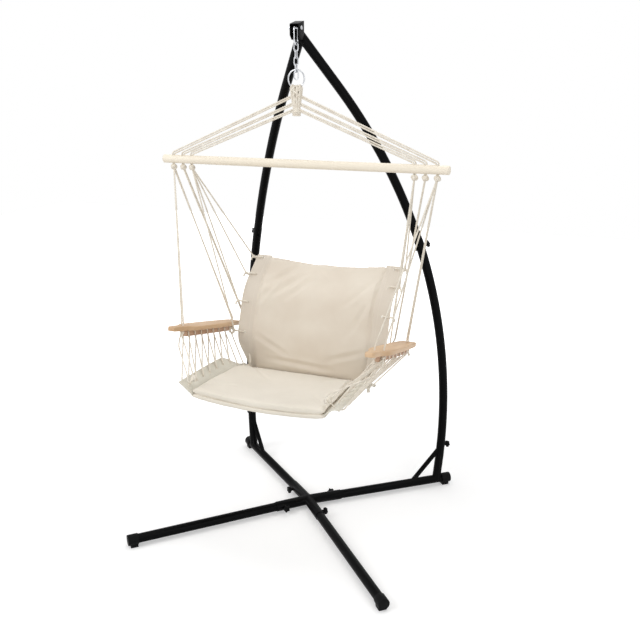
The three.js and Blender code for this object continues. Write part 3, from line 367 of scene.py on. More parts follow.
look_at = (0, 0, 1)
white, daylight_strength = (1, 1, 1, 1), 0.55
area_lamp("key_lamp", (-2.6, -3.2, 3.6), look_at, size=2.6, power=95)
area_lamp("fill_lamp", (3.4, -2.4, 2.4), look_at, size=3.0, power=45)
area_lamp("top_lamp", (0.2, 0.8, 4.2), look_at, size=3.0, power=50)
world = bpy.data.worlds.new("studio_world")
bpy.context.scene.world = world
world.use_nodes = True
world_nodes = world.node_tree.nodes
world_links = world.node_tree.links
daylight = world_nodes["Background"]
daylight.inputs["Color"].default_value = white
daylight.inputs["Strength"].default_value = daylight_strength
white_seen = world_nodes.new("ShaderNodeBackground")
white_seen.inputs["Color"].default_value = white
mix = world_nodes.new("ShaderNodeMixShader")
world_links.new(background_rays(world.node_tree), mix.inputs[0])
world_links.new(daylight.outputs[0], mix.inputs[1])
world_links.new(white_seen.outputs[0], mix.inputs[2])
world_links.new(mix.outputs[0], world_nodes["World Output"].inputs["Surface"])
bpy.context.scene.view_settings.view_transform = "Standard"

# %% [markdown]
# ## Floor
# The floor has to catch the chair's shadow and still fade into the white behind it. A glow that grows
# with the distance from the middle does both: the shadow falls where the glow is weak.

# %% Floor
floor_size = 14
floor_mesh = bpy.data.meshes.new("studio_floor")
half_floor = floor_size / 2
corners = [(-1, -1), (1, -1), (1, 1), (-1, 1)]
floor_mesh.from_pydata([(x * half_floor, y * half_floor, 0) for x, y in corners], [], [(0, 1, 2, 3)])
floor = bpy.data.objects.new("studio_floor", floor_mesh)
bpy.context.scene.collection.objects.link(floor)
floor_paint, floor_shader = new_material("white_floor", (0.8, 0.8, 0.8), roughness=0.9)
floor_shader.inputs["Emission Color"].default_value = white
floor_place = object_space(floor_paint)
from_middle = add_node(floor_paint, "ShaderNodeVectorMath", operation="LENGTH")
glow_span = {"From Min": 0.9, "From Max": 2.6, "To Min": 0.3, "To Max": 1.0}
floor_glow = add_node(floor_paint, "ShaderNodeMapRange", glow_span)
seen_glow = add_node(floor_paint, "ShaderNodeMath", operation="MULTIPLY")
link(floor_paint, floor_place, "Vector", from_middle, "Vector")
link(floor_paint, from_middle, "Value", floor_glow, "Value")
floor_paint.node_tree.links.new(background_rays(floor_paint.node_tree), seen_glow.inputs[0])
link(floor_paint, floor_glow, "Result", seen_glow, 1)
link(floor_paint, seen_glow, "Value", floor_shader, "Emission Strength")
floor.data.materials.append(floor_paint)
print("floor:", floor_size, "m across")

# %% [markdown]
# ## Helpers for meshes
# Most of the chair is something long and round: cord, wire, hem. One helper carries a section along a
# path. Its frame turns as little as it can from point to point, so nothing twists by accident.

# %% Mesh helpers
tiny = 1e-9


def new_object(name, vertices, faces, material):
    mesh = bpy.data.meshes.new(name)
    mesh.from_pydata([tuple(v) for v in vertices], [], faces)
    mesh.validate()
    mesh.materials.append(material)
    mesh.shade_smooth()
    shape = bpy.data.objects.new(name, mesh)
    bpy.context.scene.collection.objects.link(shape)
    return shape


def corner_blend(points, reach, steps=5):
    """The same path with each corner rounded off."""
    rounded = [points[0]]
    for before, here, after in zip(points, points[1:], points[2:]):
        into = (before - here).length
        out = (after - here).length
        start = here + (before - here).normalized() * min(reach, into / 2)
        end = here + (after - here).normalized() * min(reach, out / 2)
        for i in range(steps + 1):
            share = i / steps
            rounded.append(start.lerp(here, share).lerp(here.lerp(end, share), share))
    rounded.append(points[-1])
    return rounded


def evenly(points, step, closed=False):
    """Points at equal steps along a path."""
    line = list(points) + ([points[0]] if closed else [])
    lengths = [0.0]
    for a, b in zip(line, line[1:]):
        lengths.append(lengths[-1] + (b - a).length)
    count = max(3, round(lengths[-1] / step))
    places, i = [], 0
    for k in range(count if closed else count + 1):
        distance = lengths[-1] * k / count
        while i < len(line) - 2 and lengths[i + 1] < distance:
            i += 1
        span = max(lengths[i + 1] - lengths[i], tiny)
        places.append(line[i].lerp(line[i + 1], (distance - lengths[i]) / span))
    return places


def frames_along(points, closed=False):
    """A point, and two directions square to the path, for each place."""
    count = len(points)
    normal = None
    found = []
    for i, point in enumerate(points):
        before = points[(i - 1) % count] if closed or i else point
        after = points[(i + 1) % count] if closed or i < count - 1 else point
        tangent = (after - before).normalized()
        if normal is None:
            normal = tangent.orthogonal()
        normal = (normal - tangent * normal.dot(tangent)).normalized()
        found.append((point, normal, tangent.cross(normal)))
    return found


def ring_faces(rings, around, closed=False, base=0):
    """The faces that join rings of points, with flat ends unless the rings close on themselves."""
    faces = []
    for i in range(rings if closed else rings - 1):
        here, there = base + i * around, base + (i + 1) % rings * around
        for k in range(around):
            turn = (k + 1) % around
            faces.append((here + k, here + turn, there + turn, there + k))
    if not closed:
        last = base + (rings - 1) * around
        faces.append(tuple(reversed(range(base, base + around))))
        faces.append(tuple(range(last, last + around)))
    return faces


def add_tube(mesh, points, radius, around, closed=False):
    """Adds a round tube to a list of vertices and faces. The radius may change along it."""
    vertices, faces = mesh
    base = len(vertices)
    for i, (point, normal, side) in enumerate(frames_along(points, closed)):
        reach = radius(i / (len(points) - 1)) if callable(radius) else radius
        for k in range(around):
            angle = full_turn * k / around
            vertices.append(point + (normal * math.cos(angle) + side * math.sin(angle)) * reach)
    faces.extend(ring_faces(len(points), around, closed, base))


print("helpers for meshes are ready")

# %% [markdown]
# ### Twisted cord
# The cord is laid from three strands. Seen end on, it is a three-lobed shape, and that shape turns as
# it goes along. Carrying the lobed section with a steady twist gives the lay of the rope.

# %% Twisted cord
lay_length = 0.0105
lay_steps = 6
cord_around = 9
strands = 3
strand_depth = 0.09


def add_cord(mesh, points, radius, closed=False, flare=0.0):
    """Adds a twisted cord along a path. With flare, its last end frays wider."""
    vertices, faces = mesh
    base = len(vertices)
    places = evenly(points, lay_length / lay_steps, closed)
    for i, (point, normal, side) in enumerate(frames_along(places, closed)):
        share = i / (len(places) - 1)
        twist = full_turn * i / lay_steps
        spread = radius * (1 + flare * share * share)
        for k in range(cord_around):
            angle = full_turn * k / cord_around
            lobe = math.cos(strands * angle - twist)
            reach = spread * (1 - strand_depth * (1 - lobe))
            vertices.append(point + (normal * math.cos(angle) + side * math.sin(angle)) * reach)
    faces.extend(ring_faces(len(places), cord_around, closed, base))


print("a strand goes round every", strands * lay_length, "m of cord")

# %% [markdown]
# ### Knots
# An overhand knot drawn tight is close to the curve that mathematicians call a trefoil: a cord that
# goes round twice while it weaves in and out three times. Thick cord on a small trefoil fills it up
# into the lump that the eye knows as a knot. Frayed tails finish the small ones.

# %% Knots
overhand_steps, overhand_around = 54, 8
overhand_turns, overhand_weaves, overhand_rise = 2, 3, 1.7
cord_share, core_share = 0.2, 0.36
tail_straight, tail_reach, tail_drop, tail_flare = 0.4, 0.6, 0.5, 0.7


def add_knot(mesh, centre, size, axis=up, thickness=cord_share):
    """Adds a tight overhand knot, size across, round an axis."""
    cord = size * thickness
    scale = (size / 2 - cord) / (overhand_turns + 1)
    first = axis.orthogonal().normalized()
    second = axis.cross(first).normalized()
    points = []
    for i in range(overhand_steps):
        angle = full_turn * i / overhand_steps
        reach = (overhand_turns + math.cos(overhand_weaves * angle)) * scale
        rise = math.sin(overhand_weaves * angle) * scale * overhand_rise
        turned = overhand_turns * angle
        flat = first * math.cos(turned) + second * math.sin(turned)
        points.append(centre + flat * reach + axis * rise)
    add_tube(mesh, points, cord, overhand_around, closed=True)
    vertices, faces = mesh
    base = len(vertices)
    core = bmesh.new()
    bmesh.ops.create_icosphere(core, subdivisions=2, radius=size * core_share)
    vertices.extend(v.co + centre for v in core.verts)
    faces.extend(tuple(base + v.index for v in face.verts) for face in core.faces)
    core.free()


def add_tail(mesh, start, direction, length, radius):
    """Adds a short frayed end of cord."""
    way = direction.normalized() * length
    line = [start, start + way * tail_straight, start + way * tail_reach - up * length * tail_drop]
    add_cord(mesh, corner_blend(line, length / 3), radius, flare=tail_flare)


print("helpers for cord and knots are ready")

# %% [markdown]
# ## The shapes that carry the cloth
# The seat is a sling: its sides are held up by the nets, so it sags between them, and it drops
# towards the crease. The back leans away as it rises. Both are written as a point for each place on the
# cloth, and everything sewn to the cloth asks these same two functions where it is.

# %% Seat surface
seat_front_y, crease_y = -0.393, 0.093
seat_front_half, seat_crease_half = 0.276, 0.247
seat_edge_z, seat_crease_z = 0.672, 0.6
seat_front_mid_z = 0.652
crease_drop_share = 0.62


def seat_point(u, v):
    half = lerp(seat_front_half, seat_crease_half, v**3)
    edge = lerp(seat_edge_z, seat_crease_z, smooth(crease_drop_share, 1, v))
    middle = lerp(seat_front_mid_z, seat_crease_z, v)
    return spot(u * half, lerp(seat_front_y, crease_y, v), lerp(middle, edge, u * u))


print("front corner of the seat:", tuple(round(c, 3) for c in seat_point(1, 0)))

# %% [markdown]
# A canvas strip is sewn along each side of the seat and the back, and the cords pull on it. Ropes, nets
# and the strips themselves all need places on it, so a hem holds one place along the seam and finds
# any point across the strip from there.

# %% Strips' seams
strip_width = 0.058
strip_thickness = 0.003
strip_front_angle, strip_rear_angle = math.radians(38), math.radians(27)
strip_flop = {-1: math.radians(6), 1: math.radians(62)}
eyelet_reach = 0.026
eyelet_radius = 0.0045
surface_step = 0.01


class Hem:
    """One place along a side strip: its seam, the way out across the strip, and the way up from it."""

    def __init__(self, seam, out, along, sign, flop=0.0):
        self.seam = seam
        self.out = out
        self.up = (out.cross(along) * sign).normalized()
        self.flop = flop

    def at(self, out_by, up_by=0.0):
        """A point on or above the strip. Past its eyelets the strip bends down, if it flops."""
        past = max(out_by - eyelet_reach, 0)
        bend = self.flop * past / (strip_width - eyelet_reach)
        reach = min(out_by, eyelet_reach) + past * math.cos(bend / 2)
        drop = past * math.sin(bend / 2)
        rise = self.up * math.cos(bend) + self.out * math.sin(bend)
        return self.seam + self.out * reach - self.up * drop + rise * up_by


def seat_hem(sign, v):
    angle = lerp(strip_front_angle, strip_rear_angle, v)
    out = Vector((sign * math.cos(angle), 0, math.sin(angle)))
    along = seat_point(sign, min(v + surface_step, 1)) - seat_point(sign, max(v - surface_step, 0))
    return Hem(seat_point(sign, v), out, along, sign, strip_flop[sign])


print("strips:", strip_width, "m wide")

# %% [markdown]
# The back's side view is a smooth curve through a few chosen points: nearly upright above the crease,
# then leaning away. Walking it at equal steps gives a point for any share of the way up.

# %% Back surface
back_top_y, back_top_z, back_bottom_z = 0.318, 1.056, 0.58
back_half_top, back_half_bottom = 0.276, 0.25
back_top_sag, back_bow, back_widening_share = 0.022, 0.016, 0.35
back_lean_shares = [(0, 0), (0.16, 0.02), (0.32, 0.045), (0.5, 0.16), (0.76, 0.4), (1, 1)]
back_strip_start = 0.22
curve_samples = 200


def curve_through(points, samples):
    """A smooth curve that passes through the points, walked at equal steps."""
    line = []
    spans = len(points) - 1
    for i in range(samples + 1):
        place = spans * i / samples
        k = min(int(place), spans - 1)
        t = place - k
        before, here, there = points[max(k - 1, 0)], points[k], points[k + 1]
        after = points[min(k + 2, spans)]
        start, end = (there - before) / 2, (after - here) / 2
        cubic = (here - there) * 2 + start + end
        square = (there - here) * 3 - start * 2 - end
        line.append(cubic * t**3 + square * t**2 + start * t + here)
    length = sum((b - a).length for a, b in zip(line, line[1:]))
    return evenly(line, length / samples)


def back_outline():
    points = []
    for rise, lean in back_lean_shares:
        y = lerp(crease_y, back_top_y, lean)
        z = lerp(back_bottom_z, back_top_z, rise)
        points.append(Vector((0, y, z)))
    return curve_through(points, curve_samples)


back_line = back_outline()


def back_point(u, v):
    place = v * (len(back_line) - 1)
    k = min(int(place), len(back_line) - 2)
    on_curve = back_line[k].lerp(back_line[k + 1], place - k)
    half = lerp(back_half_bottom, back_half_top, smooth(0, back_widening_share, v))
    middle = (1 - u * u) * v
    return spot(u * half, on_curve.y + back_bow * middle, on_curve.z - back_top_sag * middle)


def back_hem(sign, share):
    v = lerp(back_strip_start, 1, share)
    along = back_point(sign, min(v + surface_step, 1)) - back_point(sign, max(v - surface_step, 0))
    return Hem(back_point(sign, v), Vector((sign, 0, 0)), along, sign)


print("top corner of the back:", tuple(round(c, 3) for c in back_point(1, 1)))

# %% [markdown]
# ## Hard pieces that the CAD already shapes well
# The frame's meshes come with a separate corner for every face. A copy whose corners are joined again
# can be shaded smoothly, and a small bevel catches the light on its edges as a real edge does. Each
# copy rides on its body and takes the place of its CAD piece.

# %% Rounded copies
smooth_limit, flat_limit = math.radians(35), math.radians(1)
weld_distance = 0.00001
steel_bevel, plastic_bevel, wood_bevel = 0.0004, 0.0012, 0.0008
bevel_look = {"segments": 2, "profile": 0.6, "affect": "EDGES", "clamp_overlap": True}


def finished_copy(name, body, material, bevel=0.0):
    """A copy of a CAD piece, smooth where it is round and softened along its edges."""
    mesh = nodes[name].data.copy()
    work = bmesh.new()
    work.from_mesh(mesh)
    bmesh.ops.remove_doubles(work, verts=work.verts, dist=weld_distance)
    bmesh.ops.dissolve_limit(work, angle_limit=flat_limit, verts=work.verts, edges=work.edges)
    if bevel:
        edges = [e for e in work.edges if e.calc_face_angle(0) > smooth_limit]
        bmesh.ops.bevel(work, geom=edges, offset=bevel, **bevel_look)
    work.to_mesh(mesh)
    work.free()
    if mesh.has_custom_normals:
        mesh.normals_split_custom_set([(0, 0, 0)] * len(mesh.loops))
    mesh.materials.clear()
    mesh.materials.append(material)
    mesh.shade_smooth()
    mesh.set_sharp_from_angle(angle=smooth_limit)
    piece = bpy.data.objects.new(name + "_finished", mesh)
    bpy.context.scene.collection.objects.link(piece)
    return attach(piece, body, [name])


def attach(piece, body, names):
    """Puts a piece on its body, in place of the CAD pieces that it stands for."""
    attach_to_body(piece, body)
    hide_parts(*names)
    return piece


tube_names = ["base_cross", "leg_front_left", "leg_front_right"]
tube_names += ["corner_frame_left", "corner_frame_right"]
for name in tube_names:
    finished_copy(name, "stand", steel_black)
for name in ["top_bracket", "middle_nut_left", "middle_nut_right"]:
    finished_copy(name, "stand", steel_black, steel_bevel)
for name in ["hang_bolt", "hang_bolt_nut"]:
    finished_copy(name, "stand", chrome, steel_bevel)
feet = ["front_left", "front_right", "rear_right", "rear_left"]
for foot in feet:
    finished_copy(f"foot_cap_{foot}", "stand", plastic_black, plastic_bevel)
for side in side_signs:
    finished_copy(f"armrest_rail_{side}", "chair", rail_wood, wood_bevel)
finished_copy("spreader_bar", "chair", bar_wood)

# %% [markdown]
# ### Bent uprights
# Each upright stands on a rear leg, leans out a little, then follows one long bend and a straight end
# to the middle plane, where it is cut to meet the other. The CAD's tube has few rings along the bend,
# so this one is drawn again along the same line, with its drawn-in end inside the tube below.

# %% Line of an upright
upright_foot = Vector((0.47125, 0.46751, 0.03))
meeting_y = 0.01926
upright_lean, upright_top = math.radians(-6.7), math.radians(39.9)
upright_straight, bend_radius, upright_top_straight = 0.043, 2.25, 0.229
bend_length = bend_radius * (upright_top - upright_lean)
stub_top, middle_joint, insert_length = 0.204, 1.15, 0.08
lower_radius, upper_radius, insert_radius = 0.019, 0.018, 0.0172
nose_setback = 0.008


def upright_point(sign, distance):
    """The point at a distance along an upright's middle line, from its foot."""
    foot = Vector((sign * upright_foot.x, upright_foot.y, upright_foot.z))
    inward = (Vector((0, meeting_y, foot.z)) - foot).normalized()
    bent = min(max(distance - upright_straight, 0), bend_length)
    angle = upright_lean + bent / bend_radius
    before = min(distance, upright_straight)
    after = max(distance - upright_straight - bend_length, 0)
    inward_by = bend_radius * (math.cos(upright_lean) - math.cos(angle))
    upward_by = bend_radius * (math.sin(angle) - math.sin(upright_lean))
    inward_by += before * math.sin(upright_lean) + after * math.sin(upright_top)
    upward_by += before * math.cos(upright_lean) + after * math.cos(upright_top)
    return foot + inward * inward_by + up * upward_by


upright_length = upright_straight + bend_length + upright_top_straight
print("uprights:", round(upright_length, 3), "m along each")

# %% [markdown]
# Each tube is a round section carried along that line, narrow where it slides into the tube below. The
# upper ones are made too long, then cut by two planes: the middle of the stand, and the hood's back.

# %% Upright tubes
upright_step, upright_around, end_round = 0.012, 40, 0.0006


def cut_flat(piece, place, normal):
    """Cuts away what lies beyond a plane, and closes the cut."""
    work = bmesh.new()
    work.from_mesh(piece.data)
    whole = [*work.verts, *work.edges, *work.faces]
    made = bmesh.ops.bisect_plane(work, geom=whole, plane_co=place, plane_no=normal, clear_outer=True)
    rim = [part for part in made["geom_cut"] if isinstance(part, bmesh.types.BMEdge)]
    bmesh.ops.contextual_create(work, geom=rim)
    work.to_mesh(piece.data)
    work.free()


def upright_tube(name, sign, start, end, radius):
    rounds = [(start - insert_length, insert_radius), (start, insert_radius)]
    rounds += [(start, radius - end_round), (start + end_round, radius)]
    steps = round((end - start) / upright_step)
    rounds += [(lerp(start, end, i / steps), radius) for i in range(1, steps)]
    rounds += [(end - end_round, radius), (end, radius - end_round)]
    mesh = ([], [])
    line = [upright_point(sign, distance) for distance, reach in rounds]
    add_tube(mesh, line, lambda share: rounds[round(share * (len(rounds) - 1))][1], upright_around)
    return new_object(name + "_bent", *mesh, steel_black)


uprights = []
for side, sign in side_signs.items():
    lower_name, upper_name = f"upright_lower_{side}", f"upright_upper_{side}"
    lower = upright_tube(lower_name, sign, stub_top + piece_gap, middle_joint, lower_radius)
    past_middle = upright_length + 2 * lower_radius
    upper = upright_tube(upper_name, sign, middle_joint + piece_gap, past_middle, upper_radius)
    cut_flat(upper, (sign * piece_gap / 2, 0, 0), across * -sign)
    cut_flat(upper, (0, meeting_y - nose_setback, 0), -rearward)
    for tube, name in ((lower, lower_name), (upper, upper_name)):
        tube.data.set_sharp_from_angle(angle=smooth_limit)
        uprights.append(attach(tube, "stand", [name]))
print("upright tubes:", len(uprights))

# %% [markdown]
# ### Star knobs
# A star knob has soft lobes for the fingers and a dished face. The lobes come from a wave round the
# edge, and a list of heights and widths turns them into a rounded head on its stem and stud.

# %% Star knobs
knob_radius, knob_lobe_depth, knob_lobes = 0.0155, 0.0026, 5
knob_head, knob_stem_length, knob_stem_radius, stud_radius = 0.013, 0.009, 0.007, 0.004
knob_around = 60
knob_edge, stud_tip_share, stem_shares = 0.001, 0.7, (0.93, 1.04)
knob_smooth_limit = math.radians(50)
knob_profile = [
    # share of the head's height, share of its width
    (0, 0.72),
    (0.05, 0.9),
    (0.16, 0.98),
    (0.3, 1),
    (0.7, 1),
    (0.86, 0.97),
    (0.95, 0.9),
    (1, 0.76),
    (0.97, 0.55),
    (0.9, 0.3),
    (0.88, 0.06),
]


def star_knob(name):
    """A knob on the axis of its joint, head outward, as long as the CAD's."""
    joint = next(j for j in frame["joints"] if j["child"] == name)
    origin, axis = Vector(joint["pos_m"]), Vector(joint["axis"]).normalized()
    heights = [(v.co - origin).dot(axis) for v in nodes[name].data.vertices]
    low, top = min(heights), max(heights)
    if abs(low) > abs(top):
        axis, low, top = -axis, -top, -low
    first = axis.orthogonal().normalized()
    second = axis.cross(first)
    head_base = top - knob_head
    stem_base = head_base - knob_stem_length
    rounds = [
        (low, stud_radius * stud_tip_share),
        (low + knob_edge, stud_radius),
        (stem_base, stud_radius),
        (stem_base, knob_stem_radius * stem_shares[0]),
        (stem_base + knob_edge, knob_stem_radius),
        (head_base, knob_stem_radius * stem_shares[1]),
    ]
    sections = [(height, radius, 0) for height, radius in rounds]
    sections += [(head_base + h * knob_head, w * knob_radius, w) for h, w in knob_profile]
    vertices = []
    for height, radius, lobes in sections:
        for k in range(knob_around):
            angle = full_turn * k / knob_around
            wave = knob_lobe_depth * (math.cos(knob_lobes * angle) - 1) * lobes
            across_way = first * math.cos(angle) + second * math.sin(angle)
            vertices.append(origin + axis * height + across_way * (radius + wave))
    faces = ring_faces(len(sections), knob_around)
    knob = new_object(name + "_turned", vertices, faces, plastic_black)
    knob.data.set_sharp_from_angle(angle=knob_smooth_limit)
    attach(knob, name, [name])


knob_names = [f"base_knob_{foot}" for foot in feet]
knob_names += [f"{place}_knob_{side}" for place in ("corner", "middle") for side in side_signs]
for name in knob_names:
    star_knob(name)
print("knobs:", len(knob_names))

# %% [markdown]
# ### Carabiner, chain and ring
# All of these are bent wire. Each is a round tube along its own middle line, finer than the CAD's, and
# each chain link has the small swelling where its ends were welded.

# %% Wire shapes
wire_around, hook_steps, link_steps, ring_steps = 20, 24, 16, 72
carabiner_wire, carabiner_middle, carabiner_bend = 0.0035, 1.9538, 0.0155
carabiner_straight = 0.0165
gate_wire, gate_half, gate_gap = 0.00275, 0.0135, 0.0138
link_wire, link_inner_width, link_inner_length = 0.00218, 0.01164, 0.02514
link_tops = [1.92567, 1.90097, 1.87627, 1.85157, 1.82687]
link_step_share, weld_height, weld_sharpness = 0.6, 0.12, 60
ring_wire, ring_radius, ring_middle = 0.00275, 0.03225, 1.8021


def arc(centre, first, second, radius, start, end, steps):
    places = []
    for i in range(steps + 1):
        angle = lerp(start, end, i / steps)
        places.append(centre + first * radius * math.cos(angle) + second * radius * math.sin(angle))
    return places


def wire_piece(name, points, radius, closed, body):
    """A piece of chromed wire. Its name is its node's, and how it was made."""
    mesh = ([], [])
    add_tube(mesh, points, radius, wire_around, closed)
    return attach(new_object(name, *mesh, chrome), body, [name.rsplit("_", 1)[0]])


def carabiner_line():
    upper = spot(0, 0, carabiner_middle + carabiner_straight)
    lower = spot(0, 0, carabiner_middle - carabiner_straight)
    start = spot(0, -carabiner_bend, carabiner_middle + gate_gap)
    end = spot(0, -carabiner_bend, carabiner_middle - gate_gap)
    over = arc(upper, rearward, up, carabiner_bend, math.pi, 0, hook_steps)
    under = arc(lower, rearward, up, carabiner_bend, 0, -math.pi, hook_steps)
    return [start, *over, *under, end]


def link_line(inner_top, wide):
    bend = link_inner_width / 2 + link_wire
    straight = link_inner_length / 2 + link_wire - bend
    middle = inner_top - link_inner_length / 2
    upper, lower = spot(0, 0, middle + straight), spot(0, 0, middle - straight)
    over = arc(upper, wide, up, bend, 0, math.pi, link_steps)
    under = arc(lower, wide, up, bend, math.pi, full_turn, link_steps)
    return over + under


def weld_swell(share):
    from_weld = (share - 0.5) * weld_sharpness
    return link_wire * (1 + weld_height * math.exp(-(from_weld**2)))


print("a link is", round(link_inner_length + 4 * link_wire, 4), "m long outside")

# %% [markdown]
# The carabiner's gate is a turned pin with rounded ends. The links hang one in the next, each a
# quarter turn from the one above, and the last hangs loose inside the ring.

# %% Hanging hardware
wire_piece("carabiner_bent", carabiner_line(), carabiner_wire, False, "carabiner")
gate_shares = [
    # rise from the end, share of the wire's width
    (0, 0.3),
    (0.1, 0.62),
    (0.35, 0.9),
    (1, 1),
]
gate_low = [(-gate_half + rise * gate_wire, width * gate_wire) for rise, width in gate_shares]
gate_rounds = gate_low + [(-height, radius) for height, radius in reversed(gate_low)]
gate_points = [spot(0, -carabiner_bend, carabiner_middle + height) for height, radius in gate_rounds]


def gate_radius(share):
    return gate_rounds[round(share * (len(gate_rounds) - 1))][1]


wire_piece("carabiner_gate_turned", gate_points, gate_radius, False, "carabiner_gate")
for i, inner_top in enumerate(link_tops):
    wide = rearward if i % 2 else across
    line = evenly(link_line(inner_top, wide), link_wire * link_step_share, closed=True)
    last = i == len(link_tops) - 1
    name, body = ("chain_tail_link", "chain_tail_link") if last else (f"chain_link_{i + 1}", "chain")
    wire_piece(name + "_bent", line, weld_swell, True, body)
ring_line = arc(spot(0, 0, ring_middle), across, up, ring_radius, 0, full_turn, ring_steps)[:-1]
wire_piece("hanging_ring_bent", ring_line, ring_wire, True, "chair")
print("hardware:", 2 + len(link_tops) + 1)

# %% [markdown]
# ### Armrests
# Each armrest is a paddle cut from a board: narrow where the hand ends, wide under the elbow. Its
# outline is a curve through a few widths, its edges are rounded over, and three holes take the ropes.

# %% Armrest measures
arm_x, arm_y, arm_z = 0.402, -0.05, 0.815
arm_pitch = math.radians(12.5)
arm_length, arm_width, arm_thickness = 0.52, 0.09, 0.018
arm_tip, arm_end = -arm_length / 2, arm_length / 2
arm_outline = [
    # share of the length from the tip, share of the half width
    (0, 0.3),
    (0.03, 0.42),
    (0.14, 0.5),
    (0.19, 0.72),
    (0.23, 0.93),
    (0.32, 1),
    (0.6, 0.97),
    (0.85, 0.86),
    (0.97, 0.74),
    (1, 0.56),
]
arm_hole_out = 0.021
first_hole_in, second_hole_in, rear_hole_in = 0.078, 0.108, 0.03
front_holes = [(arm_tip + first_hole_in, -arm_hole_out / 4), (arm_tip + second_hole_in, arm_hole_out)]
rear_hole_along = arm_end - rear_hole_in
front_hole_radius, rear_hole_radius = 0.0035, 0.0065
arm_round = 0.0045


def arm_point(sign, along, out, rise):
    y = arm_y + along * math.cos(arm_pitch) + rise * math.sin(arm_pitch)
    z = arm_z - along * math.sin(arm_pitch) + rise * math.cos(arm_pitch)
    return spot(sign * (arm_x + out), y, z)


print("an armrest is", arm_length, "m long and", arm_width, "m wide")

# %% [markdown]
# The board is the outline, stacked in a few layers that draw in at the top and bottom edges. A true
# hole needs a Boolean: a round drill is taken away from the board, and then thrown away.

# %% Armrest boards
edge_steps, outline_samples, drill_around = 5, 72, 24


def arm_edge():
    half = arm_width / 2
    points = [Vector((lerp(arm_tip, arm_end, share), width * half, 0)) for share, width in arm_outline]
    return curve_through(points, outline_samples)


def cut_holes(piece, holes):
    """Bores round holes. Each is given by its two ends and its radius."""
    drills = ([], [])
    for start, end, radius in holes:
        add_tube(drills, [start, end], radius, drill_around)
    tool = new_object("drill", *drills, piece.data.materials[0])
    bore = piece.modifiers.new("bore", "BOOLEAN")
    bore.operation = "DIFFERENCE"
    bore.solver = "EXACT"
    bore.object = tool
    apply_modifiers(piece)
    bpy.data.objects.remove(tool)


def apply_modifiers(piece):
    scene_now = bpy.context.evaluated_depsgraph_get()
    done = bpy.data.meshes.new_from_object(piece.evaluated_get(scene_now))
    piece.modifiers.clear()
    piece.data = done


def armrest_board(side):
    sign = side_signs[side]
    edge = arm_edge()
    rim = [(p.x, p.y) for p in edge] + [(p.x, -p.y) for p in reversed(edge)]
    vertices = []
    for i in range(2 * edge_steps):
        upper = i >= edge_steps
        turn = (i % edge_steps) / (edge_steps - 1) * math.pi / 2
        inset = arm_round * (1 - (math.cos(turn) if upper else math.sin(turn)))
        rise = arm_round * (math.sin(turn) if upper else 1 - math.cos(turn))
        height = arm_thickness - arm_round + rise if upper else rise
        for along, out in rim:
            shrink = 1 - inset / (arm_width / 2)
            vertices.append(arm_point(sign, along * (1 - inset / arm_end), out * shrink, height))
    faces = ring_faces(2 * edge_steps, len(rim))
    board = new_object(f"armrest_board_{side}_shaped", vertices, faces, board_wood)
    places = [(along, out, front_hole_radius) for along, out in front_holes]
    places.append((rear_hole_along, 0, rear_hole_radius))
    holes = []
    for along, out, radius in places:
        below = arm_point(sign, along, out, -arm_thickness)
        above = arm_point(sign, along, out, 2 * arm_thickness)
        holes.append((below, above, radius))
    cut_holes(board, holes)
    board.data.shade_smooth()
    board.data.set_sharp_from_angle(angle=smooth_limit)
    return attach(board, "chair", [f"armrest_board_{side}"])


boards = [armrest_board(side) for side in side_signs]
print("armrests shaped:", len(boards))

# %% [markdown]
# ## Padded seat and back
# Each pad starts as a closed shape on its surface, a little thinner than the finished pad. Cloth with
# air pressure then swells it, so that it crowns in the middle and draws in at its seams. The movement
# of each point is capped, so the pad keeps its outline.

# %% Pads
seat_thickness, back_thickness = 0.04, 0.036
crown_power = 4
rim_rise_share, side_pinch, side_power = 0.12, 0.85, 24
pad_columns, pad_rows = 40, 36


def surface_normal(point, u, v):
    """The way out of a surface, from two short steps on it."""
    along = point(u, min(v + surface_step, 1)) - point(u, max(v - surface_step, 0))
    sideways = point(min(u + surface_step, 1), v) - point(max(u - surface_step, -1), v)
    return sideways.cross(along).normalized()


def outward(piece):
    """Turns every face of a closed piece to look out."""
    work = bmesh.new()
    work.from_mesh(piece.data)
    bmesh.ops.recalc_face_normals(work, faces=work.faces)
    work.to_mesh(piece.data)
    work.free()
    return piece


def pad_shape(point, low_face, high_face, rims, span):
    """A closed pad between two heights over its surface. Its faces meet in a thin seam at the sides."""
    rows = []
    middle_face = (low_face + high_face) / 2
    for j in range(pad_rows + 1):
        share = j / pad_rows
        v = lerp(span[0], span[1], share)
        rim = lerp(rims[0], rims[1], smooth(0, rim_rise_share, share))
        row = []
        for face in (high_face, low_face):
            line = []
            for i in range(pad_columns + 1):
                u = lerp(-1, 1, i / pad_columns)
                crown = (1 - u**crown_power) * (1 - abs(2 * share - 1) ** crown_power)
                full = face - middle_face
                half = lerp(math.copysign(rim / 2, full), full, math.sqrt(crown))
                sideways = 1 - side_pinch * abs(u) ** side_power
                height = middle_face + half * sideways
                line.append(point(u, v) + surface_normal(point, u, v) * height)
            row.append(line)
        rows.append(row[0] + row[1][::-1])
    return rows


def pad_object(name, rows, material):
    """A pad from its rows of points. Its two ends are closed by strips of faces."""
    around = len(rows[0])
    vertices = [point for row in rows for point in row]
    faces = ring_faces(len(rows), around)[:-2]
    for base in (0, (len(rows) - 1) * around):
        for i in range(pad_columns):
            under = base + around - 1 - i
            face = (base + i, under, under - 1, base + i + 1)
            faces.append(face if base else tuple(reversed(face)))
    return outward(new_object(name, vertices, faces, material))


print("a pad starts with", 2 * (pad_columns + 1) * (pad_rows + 1), "points")

# %% [markdown]
# The simulation itself: remesh to an even skin, let the pressure act for twenty frames with no
# gravity, then pull back every point that moved further than the cap.

# %% Swelling a pad
pad_voxel, pad_pressure, pad_frames = 0.005, 4.0, 20


